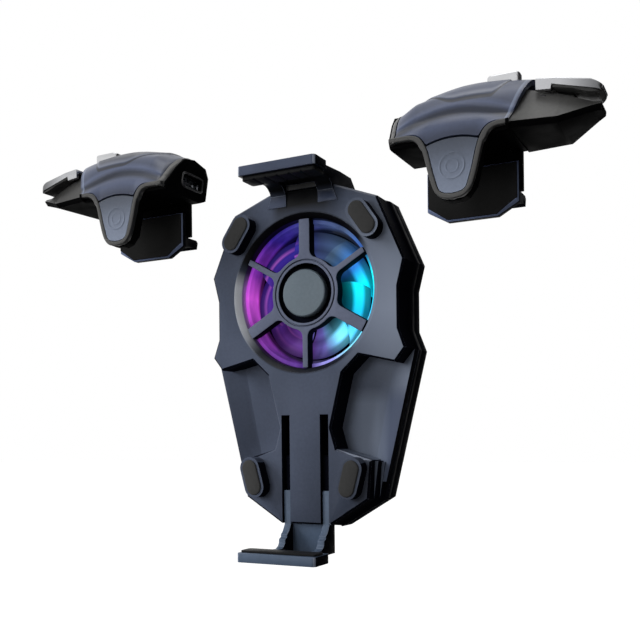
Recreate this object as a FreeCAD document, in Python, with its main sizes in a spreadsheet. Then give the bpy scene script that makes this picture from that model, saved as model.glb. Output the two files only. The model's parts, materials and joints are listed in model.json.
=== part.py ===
import FreeCAD, Part
import Sketcher
import math
import os

Vector = FreeCAD.Vector

os.makedirs("parts", exist_ok=True)
doc = FreeCAD.newDocument("phone_game_controller")
sheet = doc.addObject("Spreadsheet::Sheet", "sizes")

# Driving dimensions in millimetres, angles in degrees, counts as whole numbers.
# X runs to the right, Y from the player to the back, Z up.
# The origin is the middle of the plane in which the four rest pads touch the phone.
SIZES = {
    # phone that the set is made for
    "phone_tall": "83.4",
    "phone_thick": "8",
    # cooler body, levels along Y counted from the phone's back
    "face_gap": "3.5",
    "body_deep": "14",
    "plate_wall": "1.4",
    "side_wall": "1.7",
    "recess_deep": "6.5",
    "floor_thick": "1.8",
    "edge_bevel": "0.45",
    "back_bevel": "2.2",
    "lid_thick": "1.7",
    "fit_gap": "0.15",
    # cooler face outline, right half from the top downwards
    "face_top": "38.6",
    "top_half": "8",
    "shoulder_half": "18.9",
    "shoulder_level": "34.5",
    "cheek_half": "25.3",
    "cheek_level": "19.8",
    "waist_half": "23.8",
    "waist_high": "13.8",
    "waist_low": "4.5",
    "elbow_half": "25.4",
    "elbow_level": "0.1",
    "armpit_half": "22.9",
    "armpit_drop": "3.1",
    "recess_top_half": "14",
    "recess_top_drop": "1",
    "recess_turn_half": "9.85",
    "recess_turn_drop": "4.9",
    "recess_neck_half": "6.75",
    "recess_neck_drop": "17.5",
    "recess_foot_half": "8.2",
    "recess_foot_drop": "22.5",
    "foot_half": "16.9",
    "foot_drop": "25",
    "chin_half": "16.1",
    "chin_drop": "33.9",
    "tail_half": "6.5",
    "tail_drop": "40",
    # cooler back outline where it differs from the face
    "side_half": "18",
    "shell_out": "0.6",
    "elbow_out": "0.8",
    "brow_deep": "2.6",
    "brow_upper": "20.6",
    "brow_lower": "14.3",
    "tail_lip": "0.9",
    "step_out": "0.8",
    "step_deep": "2.2",
    # fan opening and guard
    "fan_level": "14.2",
    "duct_radius": "17.6",
    "duct_wall": "1.3",
    "duct_bevel": "1.2",
    "guard_sink": "0.7",
    "guard_deep": "2.1",
    "ring_outer": "8.3",
    "ring_inner": "7",
    "disc_thick": "0.8",
    "spoke_wide": "2.8",
    "spoke_narrow": "1.9",
    "spoke_low": "0.5",
    "cap_radius": "5.6",
    "cap_sink": "0.1",
    # fan
    "blade_count": "7",
    "blade_radius": "15.2",
    "blade_thick": "0.9",
    "blade_front": "3.9",
    "blade_deep": "4.7",
    "hub_radius": "7.8",
    "hub_wall": "0.8",
    "hub_deep": "5.3",
    "magnet_thick": "0.9",
    "stator_gap": "0.4",
    "shaft_radius": "1",
    "bearing_wall": "0.9",
    "running_gap": "0.05",
    "pole_count": "6",
    "pole_wide": "1.8",
    "frame_gap": "0.1",
    "frame_ring": "1.3",
    "frame_ring_deep": "1.2",
    "arm_wide": "2.2",
    "arm_deep": "1.2",
    "base_radius": "6.6",
    "light_wall": "0.95",
    "light_gap": "0.1",
    "board_thick": "0.9",
    "led_wide": "1.4",
    "led_count": "8",
    # rest pads
    "pad_upper_half": "16.5",
    "pad_upper_level": "29.2",
    "pad_upper_tilt": "35",
    "pad_lower_half": "12.7",
    "pad_lower_drop": "29.1",
    "pad_lower_tilt": "15",
    "pad_long": "9.8",
    "pad_wide": "5.2",
    "pad_rim": "0.65",
    "pad_proud": "0.35",
    "pad_thick": "1.5",
    "post_radius": "2.3",
    "post_wall": "1.4",
    # screws
    "screw_radius": "0.8",
    "screw_head_radius": "1.6",
    "screw_head_thick": "0.9",
    "screw_bite": "5",
    "screw_play": "0.05",
    "drive_wide": "0.4",
    "drive_deep": "0.4",
    # fixed hook over the top edge of the phone
    "hook_drop": "0.1",
    "arm_half": "8.2",
    "arm_flare": "9.2",
    "hook_half": "9.9",
    "hook_reach": "12.8",
    "hook_bar_thick": "2.1",
    "hook_arm_rise": "0.7",
    "hook_arm_deep": "12",
    "strut_inner": "4.2",
    "strut_foot": "3.8",
    "soft_thick": "1",
    "soft_inset": "1",
    # sliding claw under the bottom edge of the phone
    "claw_half": "9.95",
    "claw_reach": "14.6",
    "claw_bar_thick": "2.1",
    "claw_soft_thick": "0.5",
    "slot_inner": "4",
    "slot_outer": "6.2",
    "slot_top_drop": "14.4",
    "leg_play": "0.25",
    "leg_sink": "0.6",
    "leg_top_drop": "32.2",
    "leg_back": "6.9",
    "slider_thick": "1.7",
    "slider_top_drop": "24",
    "guide_play": "0.3",
    "guide_thick": "1.2",
    "guide_top_drop": "6",
    # cooler electronics
    "main_board_wide": "9.2",
    "main_board_top_drop": "6.6",
    "main_board_low_drop": "34.5",
    "main_board_step_drop": "24.5",
    "main_board_broad": "14.5",
    "cell_wide": "22",
    "cell_tall": "15",
    "cell_thick": "2.2",
    "cell_top_drop": "8",
    "usb_wide": "7.5",
    "usb_thick": "2.5",
    "usb_deep": "4.9",
    "usb_skin": "0.3",
    "usb_tongue": "0.6",
    "usb_level": "9.2",
    "socket_lift": "0.5",
    "usb_board_wide": "3",
    "button_drop": "30",
    "button_radius": "2.5",
    "button_flange": "0.7",
    "button_proud": "0.4",
    "button_travel": "0.5",
    "button_play": "0.25",
    "switch_wide": "4.2",
    "switch_thick": "1",
    # air intake in the back lid
    "grille_inner": "9",
    "grille_outer": "16.4",
    "grille_slot": "1.7",
    "grille_count": "20",
    # trigger modules
    "module_half_gap": "41.8",
    "module_clear": "0.1",
    "front_lip": "5",
    "wing_inner": "13.8",
    "wing_lean": "1.3",
    "wing_outer": "11.2",
    "wing_back": "5",
    "wing_thick": "1.8",
    "floor_wall": "1.3",
    "rim_high": "1",
    "end_wall": "1.4",
    "cover_wall": "1.3",
    "crown_back": "1.5",
    "crown_inner": "9.3",
    "crown_step": "11.9",
    "crown_middle": "13.4",
    "crown_outer": "12.6",
    "cut_lean": "3.4",
    # tongue in front of the screen with its touch face
    "tongue_drop": "12",
    "tongue_deep": "3.8",
    "tongue_root": "6.6",
    "tongue_top": "5.9",
    "tongue_mid": "5.1",
    "tongue_low": "4.2",
    "tongue_tip": "2.6",
    "rim_wide": "1.1",
    "inlay_thick": "1.2",
    "inlay_play": "0.1",
    "seam_drop": "1.3",
    "seam_rise": "0.9",
    "icon_radius": "2.4",
    "icon_line": "0.3",
    "icon_level": "5.7",
    "touch_wide": "7",
    "touch_tall": "9",
    "touch_thick": "1.2",
    # grip and trigger
    "grip_reach": "27.3",
    "grip_tip_half": "25.8",
    "grip_bend": "20",
    "well_start": "15.2",
    "well_end": "23.2",
    "well_front": "6.6",
    "well_back": "1",
    "well_floor": "2.6",
    "hinge_out": "16.6",
    "hinge_rise": "6.2",
    "pin_radius": "0.6",
    "lever_start": "15.5",
    "lever_reach": "27.9",
    "lever_front": "9.4",
    "lever_back": "2",
    "lever_top": "9.7",
    "lever_fall": "2.6",
    "lever_skin": "1",
    "lever_skirt": "3.1",
    "root_play": "0.3",
    "trigger_travel": "4",
    "trigger_switch_thick": "2",
    "trigger_switch_wide": "3",
    # top button
    "key_out": "8.5",
    "key_front": "5",
    "key_long": "6.6",
    "key_deep": "3.4",
    "key_top": "13.2",
    "key_tall": "3",
    "key_flange": "0.6",
    "key_travel": "0.8",
    "key_play": "0.25",
    "key_stem": "0.9",
    # jaw behind the phone
    "leg_half": "10",
    "leg_front": "2.5",
    "leg_thick": "1.7",
    "leg_drop": "7.7",
    "boss_half": "6.5",
    "boss_thick": "1.4",
    "boss_tall": "3.6",
    "jaw_half": "9.8",
    "jaw_top": "2.3",
    "jaw_tall": "10.7",
    "jaw_thick": "2",
    "jaw_corner_wide": "4.4",
    "jaw_corner_tall": "2.5",
    "jaw_bevel": "0.5",
    "jaw_inlay": "0.6",
    "jaw_rim": "0.9",
    "thumb_half": "9.7",
    "thumb_reach": "7",
    "thumb_thick": "2.4",
    "thumb_gap": "0.4",
    "pin_half_gap": "5",
    "jaw_pin_radius": "1",
    "spring_wall": "0.45",
    "spring_play": "0.12",
    "spring_seat": "0.7",
    # module electronics
    "module_board_deep": "9.8",
    "module_cell_long": "12.5",
    "module_cell_deep": "6.4",
    "module_cell_thick": "3.6",
}

for row, (word, number) in enumerate(SIZES.items(), start=1):
    sheet.set("A%d" % row, word)
    sheet.set("B%d" % row, number)
    sheet.setAlias("B%d" % row, word)
doc.recompute()


class Size:
    """A length with its formula in the sheet's aliases and its present value."""

    def __init__(self, formula, value):
        self.formula = formula
        self.value = value

    def __add__(self, other):
        other = size(other)
        return Size("(%s + %s)" % (self.formula, other.formula), self.value + other.value)

    def __sub__(self, other):
        other = size(other)
        return Size("(%s - %s)" % (self.formula, other.formula), self.value - other.value)

    def __mul__(self, other):
        other = size(other)
        return Size("(%s * %s)" % (self.formula, other.formula), self.value * other.value)

    def __truediv__(self, other):
        other = size(other)
        return Size("(%s / %s)" % (self.formula, other.formula), self.value / other.value)

    def __neg__(self):
        return Size("(0 - %s)" % self.formula, -self.value)

    def __radd__(self, other):
        return size(other) + self

    def __rsub__(self, other):
        return size(other) - self

    def __rmul__(self, other):
        return size(other) * self


def size(number):
    """Makes a Size of a plain number, and leaves a Size as it is."""
    if isinstance(number, Size):
        return number
    return Size(repr(float(number)), float(number))


def turn(kind, degrees):
    """Sine or cosine of an angle held in the sheet."""
    degrees = size(degrees)
    radians = math.radians(degrees.value)
    value = math.cos(radians) if kind == "cos" else math.sin(radians)
    return Size("%s(%s)" % (kind, degrees.formula), value)


class Words:
    """Gives each cell of the sheet by its alias."""

    def __getattr__(self, word):
        return Size("sizes.%s" % word, float(SIZES[word]))


s = Words()

# Levels along Y
FACE = s.face_gap
PARTING = s.face_gap + s.recess_deep + s.floor_thick
RECESS = s.face_gap + s.recess_deep
INSIDE = s.face_gap + s.plate_wall
BACK = s.face_gap + s.body_deep
LID = BACK - s.lid_thick
# Levels along Z of the phone's edges
PHONE_TOP = s.face_top - s.hook_drop
PHONE_LOW = PHONE_TOP - s.phone_tall
PLANES = {"x": ("YZ_Plane", 1), "y": ("XZ_Plane", -1), "z": ("XY_Plane", 1)}


def new_body(label):
    body = doc.addObject("PartDesign::Body", label)
    body.Label = label
    return body


def hold(sketch, geometry, point, across, up):
    """Ties a sketch point to the sketch's origin by two lengths from the sheet."""
    for kind, length in (("DistanceX", size(across)), ("DistanceY", size(up))):
        index = sketch.addConstraint(
            Sketcher.Constraint(kind, -1, 1, geometry, point, length.value))
        sketch.setExpression("Constraints[%d]" % index, length.formula)


def polygon(points):
    """Closed outline of straight lines."""
    points = [(size(a), size(b)) for a, b in points]

    def add(sketch):
        first = sketch.GeometryCount
        corners = [Vector(a.value, b.value, 0) for a, b in points]
        count = len(corners)
        for i in range(count):
            sketch.addGeometry(Part.LineSegment(corners[i], corners[(i + 1) % count]), False)
        for i in range(count):
            after = first + (i + 1) % count
            sketch.addConstraint(Sketcher.Constraint("Coincident", first + i, 2, after, 1))
        for i, (a, b) in enumerate(points):
            hold(sketch, first + i, 1, a, b)
    return add


def box(left, right, low, high):
    return polygon([(left, low), (right, low), (right, high), (left, high)])


def circle(across, up, radius):
    across, up, radius = size(across), size(up), size(radius)

    def add(sketch):
        centre = Vector(across.value, up.value, 0)
        index = sketch.addGeometry(Part.Circle(centre, Vector(0, 0, 1), radius.value), False)
        hold(sketch, index, 3, across, up)
        bound = sketch.addConstraint(Sketcher.Constraint("Radius", index, radius.value))
        sketch.setExpression("Constraints[%d]" % bound, radius.formula)
    return add


def pill(across, up, tilt, length, width):
    """Rounded slot about a centre, its long axis leaning by tilt from upright."""
    reach = (size(length) - width) / 2
    radius = size(width) / 2
    over = turn("sin", tilt) * reach
    rise = turn("cos", tilt) * reach
    ends = [(across - over, up - rise), (across + over, up + rise)]

    def add(sketch):
        first = sketch.GeometryCount
        low, high = [Vector(size(a).value, size(b).value, 0) for a, b in ends]
        along = (high - low).normalize()
        left = Vector(-along.y, along.x, 0) * radius.value
        heading = math.atan2(along.y, along.x)
        quarter = math.pi / 2
        up_line = Part.LineSegment(low + left, high + left)
        down_line = Part.LineSegment(high - left, low - left)
        low_circle = Part.Circle(low, Vector(0, 0, 1), radius.value)
        high_circle = Part.Circle(high, Vector(0, 0, 1), radius.value)
        low_arc = Part.ArcOfCircle(low_circle, heading + quarter, heading + 3 * quarter)
        high_arc = Part.ArcOfCircle(high_circle, heading - quarter, heading + quarter)
        for shape in (up_line, down_line, low_arc, high_arc):
            sketch.addGeometry(shape, False)
        line_up, line_down, arc_low, arc_high = range(first, first + 4)
        for joint in ((line_up, 1, arc_low, 1), (line_up, 2, arc_high, 2),
                      (line_down, 1, arc_high, 1), (line_down, 2, arc_low, 2)):
            sketch.addConstraint(Sketcher.Constraint("Tangent", *joint))
        sketch.addConstraint(Sketcher.Constraint("Equal", arc_low, arc_high))
        hold(sketch, arc_low, 3, *ends[0])
        hold(sketch, arc_high, 3, *ends[1])
        bound = sketch.addConstraint(Sketcher.Constraint("Radius", arc_low, radius.value))
        sketch.setExpression("Constraints[%d]" % bound, radius.formula)
    return add


def draw(body, name, axis, level, loops, origin=(0, 0)):
    """Sketch square to an axis of the body, at a level along that axis."""
    role, sense = PLANES[axis]
    level = size(level) * sense
    sketch = body.newObject("Sketcher::SketchObject", body.Label + "_" + name)
    support = next(plane for plane in body.Origin.OriginFeatures if plane.Role == role)
    sketch.AttachmentSupport = [(support, "")]
    sketch.MapMode = "FlatFace"
    for side, length in (("x", size(origin[0])), ("y", size(origin[1])), ("z", level)):
        sketch.setExpression("AttachmentOffset.Base." + side, length.formula)
    for loop in loops:
        loop(sketch)
    return sketch


def extrude(body, kind, name, axis, start, end, loops, origin):
    sketch = draw(body, name + "_outline", axis, start, loops, origin)
    feature = body.newObject("PartDesign::" + kind, body.Label + "_" + name)
    feature.Profile = sketch
    feature.Length = (size(end) - start).value
    feature.setExpression("Length", (size(end) - start).formula)
    return feature


def pad(body, name, axis, start, end, loops, origin=(0, 0)):
    """Adds material between two levels of an axis."""
    feature = extrude(body, "Pad", name, axis, start, end, loops, origin)
    feature.Reversed = axis == "y"
    return feature


def cut(body, name, axis, start, end, loops, origin=(0, 0)):
    """Takes material away between two levels of an axis."""
    feature = extrude(body, "Pocket", name, axis, start, end, loops, origin)
    feature.Reversed = axis != "y"
    return feature


def loft(body, kind, name, axis, sections):
    """Ruled loft through outlines at rising levels of an axis."""
    sketches = []
    for index, (level, points) in enumerate(sections):
        title = "%s_section_%d" % (name, index)
        sketches.append(draw(body, title, axis, level, [polygon(points)]))
    feature = body.newObject("PartDesign::" + kind, body.Label + "_" + name)
    feature.Profile = sketches[0]
    feature.Sections = sketches[1:]
    feature.Ruled = True
    return feature


def repeat(body, name, feature, count, about):
    """Turns copies of a feature about the normal of a sketch."""
    pattern = body.newObject("PartDesign::PolarPattern", body.Label + "_" + name)
    pattern.Originals = [feature]
    pattern.Axis = (about, ["N_Axis"])
    pattern.Angle = 360
    pattern.setExpression("Occurrences", size(count).formula)
    body.Tip = pattern
    return pattern


def edges_of(shape, chosen):
    return ["Edge%d" % (i + 1) for i, edge in enumerate(shape.Edges) if chosen(edge)]


def dress(body, kind, name, length, chosen):
    """Fillet or chamfer on the edges of the body that a test picks out."""
    doc.recompute()
    base = body.Tip
    feature = body.newObject("PartDesign::" + kind, body.Label + "_" + name)
    feature.Base = (base, edges_of(base.Shape, chosen))
    width = "Radius" if kind == "Fillet" else "Size"
    feature.setExpression(width, size(length).formula)
    doc.recompute()
    return feature


def on_level(axis, level):
    """Picks edges that lie wholly in one plane square to an axis."""
    value = size(level).value

    def chosen(edge):
        return all(abs(getattr(v.Point, axis) - value) < 1e-4 for v in edge.Vertexes)
    return chosen


def along(axis):
    """Picks straight edges that run along an axis."""
    def chosen(edge):
        middle = (edge.FirstParameter + edge.LastParameter) / 2
        return abs(getattr(edge.tangentAt(middle), axis)) > 0.999
    return chosen


def both(half):
    """Full outline from its right half, given from the top down, mirrored to the left."""
    half = [(size(a), size(b)) for a, b in half]
    return half + [(-a, b) for a, b in reversed(half) if abs(a.value) > 1e-6]


def sided(side, points):
    """Outline in X and another axis, drawn for the right, turned over for the left."""
    return [(side * size(a), b) for a, b in points]


def rod(label, radius, start, end, across, up):
    """Round bar along Y."""
    bar = doc.addObject("Part::Cylinder", label)
    bar.Label = label
    bar.setExpression("Radius", size(radius).formula)
    bar.setExpression("Height", (size(end) - start).formula)
    bar.Placement = FreeCAD.Placement(Vector(0, 0, 0), FreeCAD.Rotation(Vector(1, 0, 0), -90))
    for side, length in (("x", across), ("y", start), ("z", up)):
        bar.setExpression("Placement.Base." + side, size(length).formula)
    return bar


def tube(label, outer, inner, start, end, across, up):
    """Round tube along Y."""
    whole = rod(label + "_outside", outer, start, end, across, up)
    bore = rod(label + "_bore", inner, start, end, across, up)
    result = doc.addObject("Part::Cut", label)
    result.Label = label
    result.Base = whole
    result.Tool = bore
    return result


def cross(across, up, wide, reach):
    """Plus-shaped screw recess."""
    w, r = size(wide) / 2, size(reach)
    corners = [(w, r), (w, w), (r, w), (r, -w), (w, -w), (w, -r),
               (-w, -r), (-w, -w), (-r, -w), (-r, w), (-w, w), (-w, r)]
    return polygon([(across + a, up + b) for a, b in corners])


PAD_PLACES = {
    "upper_right": (s.pad_upper_half, s.pad_upper_level, -s.pad_upper_tilt),
    "upper_left": (-s.pad_upper_half, s.pad_upper_level, s.pad_upper_tilt),
    "lower_right": (s.pad_lower_half, -s.pad_lower_drop, s.pad_lower_tilt),
    "lower_left": (-s.pad_lower_half, -s.pad_lower_drop, -s.pad_lower_tilt),
}
FAN = (0, s.fan_level)


def face_half():
    """Right half of the cooler's face, from the top middle down to the tail."""
    return [
        (s.top_half, s.face_top),
        (s.shoulder_half, s.shoulder_level),
        (s.cheek_half, s.cheek_level),
        (s.waist_half, s.waist_high),
        (s.waist_half, s.waist_low),
        (s.elbow_half, s.elbow_level),
        (s.armpit_half, -s.armpit_drop),
        (s.recess_top_half, -s.recess_top_drop),
        (s.recess_turn_half, -s.recess_turn_drop),
        (s.recess_neck_half, -s.recess_neck_drop),
        (s.recess_foot_half, -s.recess_foot_drop),
        (s.foot_half, -s.foot_drop),
        (s.chin_half, -s.chin_drop),
        (s.tail_half, -s.tail_drop),
    ]


def shell_half(inset=0):
    """Right half of the cooler's outer wall, drawn inwards by an inset."""
    inset = size(inset)
    return [
        (s.top_half - inset * 0.3, s.face_top - inset),
        (s.shoulder_half + s.shell_out - inset * 0.7, s.shoulder_level - inset * 0.75),
        (s.cheek_half + s.shell_out - inset * 1.08, s.cheek_level),
        (s.waist_half + s.shell_out - inset, s.waist_high + inset * 0.15),
        (s.waist_half + s.shell_out - inset, s.waist_low - inset * 0.15),
        (s.elbow_half + s.elbow_out - inset * 1.05, -s.elbow_level),
        (s.side_half - inset * 0.8, -(s.chin_drop - inset * 0.6)),
        (s.tail_half - inset * 0.1, -(s.tail_drop + s.tail_lip - inset)),
    ]


def brows(body):
    """Raised outer bands of the two side recesses, sloping forward to the wall."""
    front = RECESS - s.brow_deep
    upper = (size(0), s.brow_upper, s.elbow_half + s.elbow_out)
    slope = (s.elbow_half + s.elbow_out - s.side_half) / (s.chin_drop - s.elbow_level)
    low = s.chin_drop - 3.9
    lower = (-low, s.brow_lower, s.side_half + slope * 3.9)
    for side, name in ((1, "right_brow"), (-1, "left_brow")):
        sections = []
        for level, crease, outer in (lower, upper):
            sections.append((level, sided(side, [
                (crease, RECESS + 0.2), (crease, RECESS), (outer - 0.02, front), (outer - 0.02, RECESS + 0.2)])))
        loft(body, "AdditiveLoft", name, "z", sections)


def front_cover():
    """Face plate with its side recesses, the fan duct, pad bosses and claw slots."""
    body = new_body("front_cover")
    pad(body, "recess_floor", "y", RECESS, PARTING, [polygon(both(shell_half()))])
    brows(body)
    pad(body, "plate", "y", FACE, PARTING, [polygon(both(face_half()))])
    dress(body, "Chamfer", "plate_bevel", s.edge_bevel, on_level("y", FACE))
    for layer in (1, 2):
        start = FACE + s.step_deep * layer
        out = s.step_out * layer
        steps = [polygon(sided(side, [
            (s.foot_half - 2, -s.foot_drop - out * 0.3),
            (s.foot_half + out, -s.foot_drop - out * 0.3),
            (s.chin_half + out * 0.6, -s.chin_drop),
            (s.chin_half - 2, -s.chin_drop)])) for side in (1, -1)]
        pad(body, "side_step_%d" % layer, "y", start, PARTING, steps)
    wall = s.side_wall
    upper_hollow = polygon(both([
        (s.top_half, s.face_top - wall),
        (s.shoulder_half - wall, s.shoulder_level - wall * 0.8),
        (s.cheek_half - wall * 1.2, s.cheek_level),
        (s.waist_half - wall, s.waist_high),
        (s.waist_half - wall, s.waist_low),
        (s.elbow_half - wall * 1.4, s.elbow_level + wall * 0.4),
        (s.recess_top_half - wall * 0.6, s.recess_top_drop + wall * 0.4),
        (s.recess_turn_half - wall * 0.8, -s.recess_turn_drop + wall)]))
    cut(body, "upper_hollow", "y", INSIDE, PARTING, [upper_hollow])
    lower_hollows = [polygon(sided(side, [
        (s.slot_outer + wall, -(s.recess_foot_drop + wall)),
        (s.foot_half - wall, -(s.foot_drop + wall)),
        (s.chin_half - wall, -(s.chin_drop - wall * 0.5)),
        (s.slot_outer + wall, -(s.tail_drop - wall * 1.6))])) for side in (1, -1)]
    cut(body, "lower_hollows", "y", INSIDE, PARTING, lower_hollows)
    channel = box(-s.slot_outer, s.slot_outer, -(s.tail_drop + 2 * s.tail_lip), -s.guide_top_drop)
    cut(body, "claw_channel", "y", INSIDE, PARTING, [channel])
    duct_outer = s.duct_radius + s.duct_wall
    pad(body, "duct", "y", FACE + s.edge_bevel, PARTING, [circle(0, s.fan_level, duct_outer)])
    cut(body, "duct_bore", "y", FACE, PARTING, [circle(0, s.fan_level, s.duct_radius)])

    def bore_edge(edge):
        at_face = on_level("y", FACE)(edge)
        return at_face and edge.Curve.TypeId == "Part::GeomCircle"
    dress(body, "Chamfer", "duct_bevel", s.duct_bevel, bore_edge)
    bosses = [pill(x, z, tilt, s.pad_long, s.pad_wide) for x, z, tilt in PAD_PLACES.values()]
    pad(body, "pad_bosses", "y", s.pad_proud, INSIDE, bosses)
    seat_long = s.pad_long - 2 * s.pad_rim
    seat_wide = s.pad_wide - 2 * s.pad_rim
    seats = [pill(x, z, tilt, seat_long, seat_wide) for x, z, tilt in PAD_PLACES.values()]
    cut(body, "pad_seats", "y", s.pad_proud, s.pad_thick, seats)
    posts = [circle(x, z, s.post_radius) for x, z, tilt in PAD_PLACES.values()]
    pad(body, "posts", "y", INSIDE - 0.2, PARTING, posts)
    bore = s.screw_radius + s.screw_play
    holes = [circle(x, z, bore) for x, z, tilt in PAD_PLACES.values()]
    cut(body, "post_holes", "y", PARTING - s.screw_bite, PARTING, holes)
    slots = [box(side * s.slot_inner, side * s.slot_outer,
                 -(s.tail_drop + 2 * s.tail_lip), -s.slot_top_drop) for side in (1, -1)]
    cut(body, "claw_slots", "y", FACE, PARTING, slots)
    return body


def rest_pads(level):
    """Pair of rubber inserts that touch the back of the phone."""
    body = new_body("rest_pads_" + level)
    long = s.pad_long - 2 * s.pad_rim
    wide = s.pad_wide - 2 * s.pad_rim
    pair = [place for corner, place in PAD_PLACES.items() if corner.startswith(level)]
    pills = [pill(x, z, tilt, long, wide) for x, z, tilt in pair]
    pad(body, "rubber", "y", 0, s.pad_thick, pills)
    return body


def upper_rest_pads():
    return rest_pads("upper")


def lower_rest_pads():
    return rest_pads("lower")


def rear_housing():
    """Tub behind the front cover, with the screw posts and a ledge for the lid."""
    body = new_body("rear_housing")
    pad(body, "block", "y", PARTING, BACK, [polygon(both(shell_half()))])
    dress(body, "Chamfer", "back_bevel", s.back_bevel, on_level("y", BACK))
    inner = polygon(both(shell_half(s.side_wall)))
    cut(body, "hollow", "y", PARTING, BACK, [inner])
    ledge_outside = polygon(both(shell_half(s.side_wall * 0.8)))
    ledge_inside = polygon(both(shell_half(s.side_wall * 1.7)))
    pad(body, "ledge", "y", LID - 1, LID, [ledge_outside, ledge_inside])
    posts = [circle(x, z, s.post_radius) for x, z, tilt in PAD_PLACES.values()]
    pad(body, "posts", "y", PARTING, LID, posts)
    bore = s.screw_radius + 2 * s.screw_play
    holes = [circle(x, z, bore) for x, z, tilt in PAD_PLACES.values()]
    cut(body, "post_holes", "y", PARTING, LID, holes)
    socket_front = PARTING + s.frame_gap + s.frame_ring_deep
    play = s.fit_gap
    window = box(socket_front - play, socket_front + s.usb_thick + play,
                 s.usb_level - s.usb_wide / 2 - play, s.usb_level + s.usb_wide / 2 + play)
    cut(body, "socket_window", "x", -s.cheek_half, -(s.waist_half - 2 * s.side_wall), [window])
    return body


def back_cover():
    """Lid of the housing with the air intake slots, screw seats and button hole."""
    body = new_body("back_cover")
    pad(body, "plate", "y", LID, BACK, [polygon(both(shell_half(s.side_wall + s.fit_gap)))])
    dress(body, "Chamfer", "edge", s.edge_bevel, on_level("y", BACK))
    about = draw(body, "fan_axis", "y", LID, [circle(0, 0, s.grille_inner)], FAN)
    slot = box(-s.grille_slot / 2, s.grille_slot / 2, s.grille_inner, s.grille_outer)
    first = cut(body, "intake_slot", "y", LID, BACK, [slot], FAN)
    repeat(body, "intake_slots", first, s.grille_count, about)
    play = s.screw_play
    heads = [circle(x, z, s.screw_head_radius + play) for x, z, tilt in PAD_PLACES.values()]
    cut(body, "screw_seats", "y", BACK - s.screw_head_thick, BACK, heads)
    holes = [circle(x, z, s.screw_radius + 2 * play) for x, z, tilt in PAD_PLACES.values()]
    cut(body, "screw_holes", "y", LID, BACK, holes)
    button = circle(0, -s.button_drop, s.button_radius + s.button_play)
    cut(body, "button_hole", "y", LID, BACK, [button])
    return body


def case_screws():
    """Four screws that clamp lid, housing and front cover together."""
    body = new_body("case_screws")
    under_head = BACK - s.screw_head_thick
    places = [(x, z) for x, z, tilt in PAD_PLACES.values()]
    heads = [circle(x, z, s.screw_head_radius) for x, z in places]
    pad(body, "heads", "y", under_head, BACK, heads)
    shanks = [circle(x, z, s.screw_radius) for x, z in places]
    pad(body, "shanks", "y", PARTING - s.screw_bite + 0.5, under_head + 0.2, shanks)
    reach = s.screw_head_radius * 0.6
    recesses = [cross(x, z, s.drive_wide, reach) for x, z in places]
    cut(body, "drives", "y", BACK - s.drive_deep, BACK, recesses)
    return body


def fan_guard():
    """Ring and six spokes in front of the fan, three broad and flat, three slim and ridged."""
    body = new_body("fan_guard")
    front = FACE + s.guard_sink
    rear = front + s.guard_deep
    reach = s.duct_radius - s.fit_gap / 2
    ring = draw(body, "axis", "y", front, [circle(0, 0, s.ring_inner)], FAN)
    pad(body, "disc", "y", rear - s.disc_thick, rear, [circle(0, 0, s.ring_outer)], FAN)
    rim = [circle(0, 0, s.ring_outer), circle(0, 0, s.ring_inner)]
    pad(body, "rim", "y", front, rear, rim, FAN)
    broad = box(-s.spoke_wide / 2, s.spoke_wide / 2, s.ring_inner + 0.3, reach)
    first = pad(body, "broad_spoke", "y", front + s.spoke_low, rear, [broad], FAN)
    repeat(body, "broad_spokes", first, 3, ring)
    slim = box(-s.spoke_narrow / 2, s.spoke_narrow / 2, -reach, -s.ring_inner - 0.3)
    other = pad(body, "slim_spoke", "y", front, rear, [slim], FAN)
    repeat(body, "slim_spokes", other, 3, ring)
    dress(body, "Chamfer", "rim_bevel", s.edge_bevel / 2, lambda edge: (
        on_level("y", front)(edge) and edge.Curve.TypeId == "Part::GeomCircle"
        and abs(edge.Curve.Radius - s.ring_inner.value) < 1e-4))
    return body


def hub_cap():
    """Plain disc in the middle of the guard."""
    body = new_body("hub_cap")
    seat = FACE + s.guard_sink + s.guard_deep - s.disc_thick
    pad(body, "disc", "y", FACE + s.cap_sink, seat, [circle(0, 0, s.cap_radius)], FAN)
    dress(body, "Chamfer", "bevel", s.edge_bevel / 2, on_level("y", FACE + s.cap_sink))
    return body


def light_ring():
    """Clear light guide that lines the duct behind the guard."""
    outer = s.duct_radius - s.light_gap
    start = FACE + s.guard_sink + s.guard_deep + s.light_gap
    return tube("light_ring", outer, outer - s.light_wall, start, led_front() - s.light_gap, *FAN)


def led_front():
    """Level of the lamps' front, one lamp's height before the lamp board."""
    return PARTING + s.frame_gap - s.board_thick


def led_board():
    """Ring of circuit board with small lamps that shine into the light guide."""
    body = new_body("led_board")
    outer = s.duct_radius - s.light_gap
    front = PARTING + s.frame_gap
    inner = outer - s.led_wide
    ring = [circle(0, 0, outer), circle(0, 0, inner)]
    about = draw(body, "axis", "y", front, [circle(0, 0, outer)], FAN)
    pad(body, "ring", "y", front, front + s.board_thick, ring, FAN)
    lamp = box(-s.led_wide / 2, s.led_wide / 2, inner + 0.1, outer - 0.2)
    first = pad(body, "lamp", "y", led_front(), front + 0.1, [lamp], FAN)
    repeat(body, "lamps", first, s.led_count, about)
    return body


def frame_levels():
    """Front of the frame's ring, front and back of its arms."""
    ring_front = PARTING + s.frame_gap
    arm_front = ring_front + s.frame_ring_deep
    return ring_front, arm_front, arm_front + s.arm_deep


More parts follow.
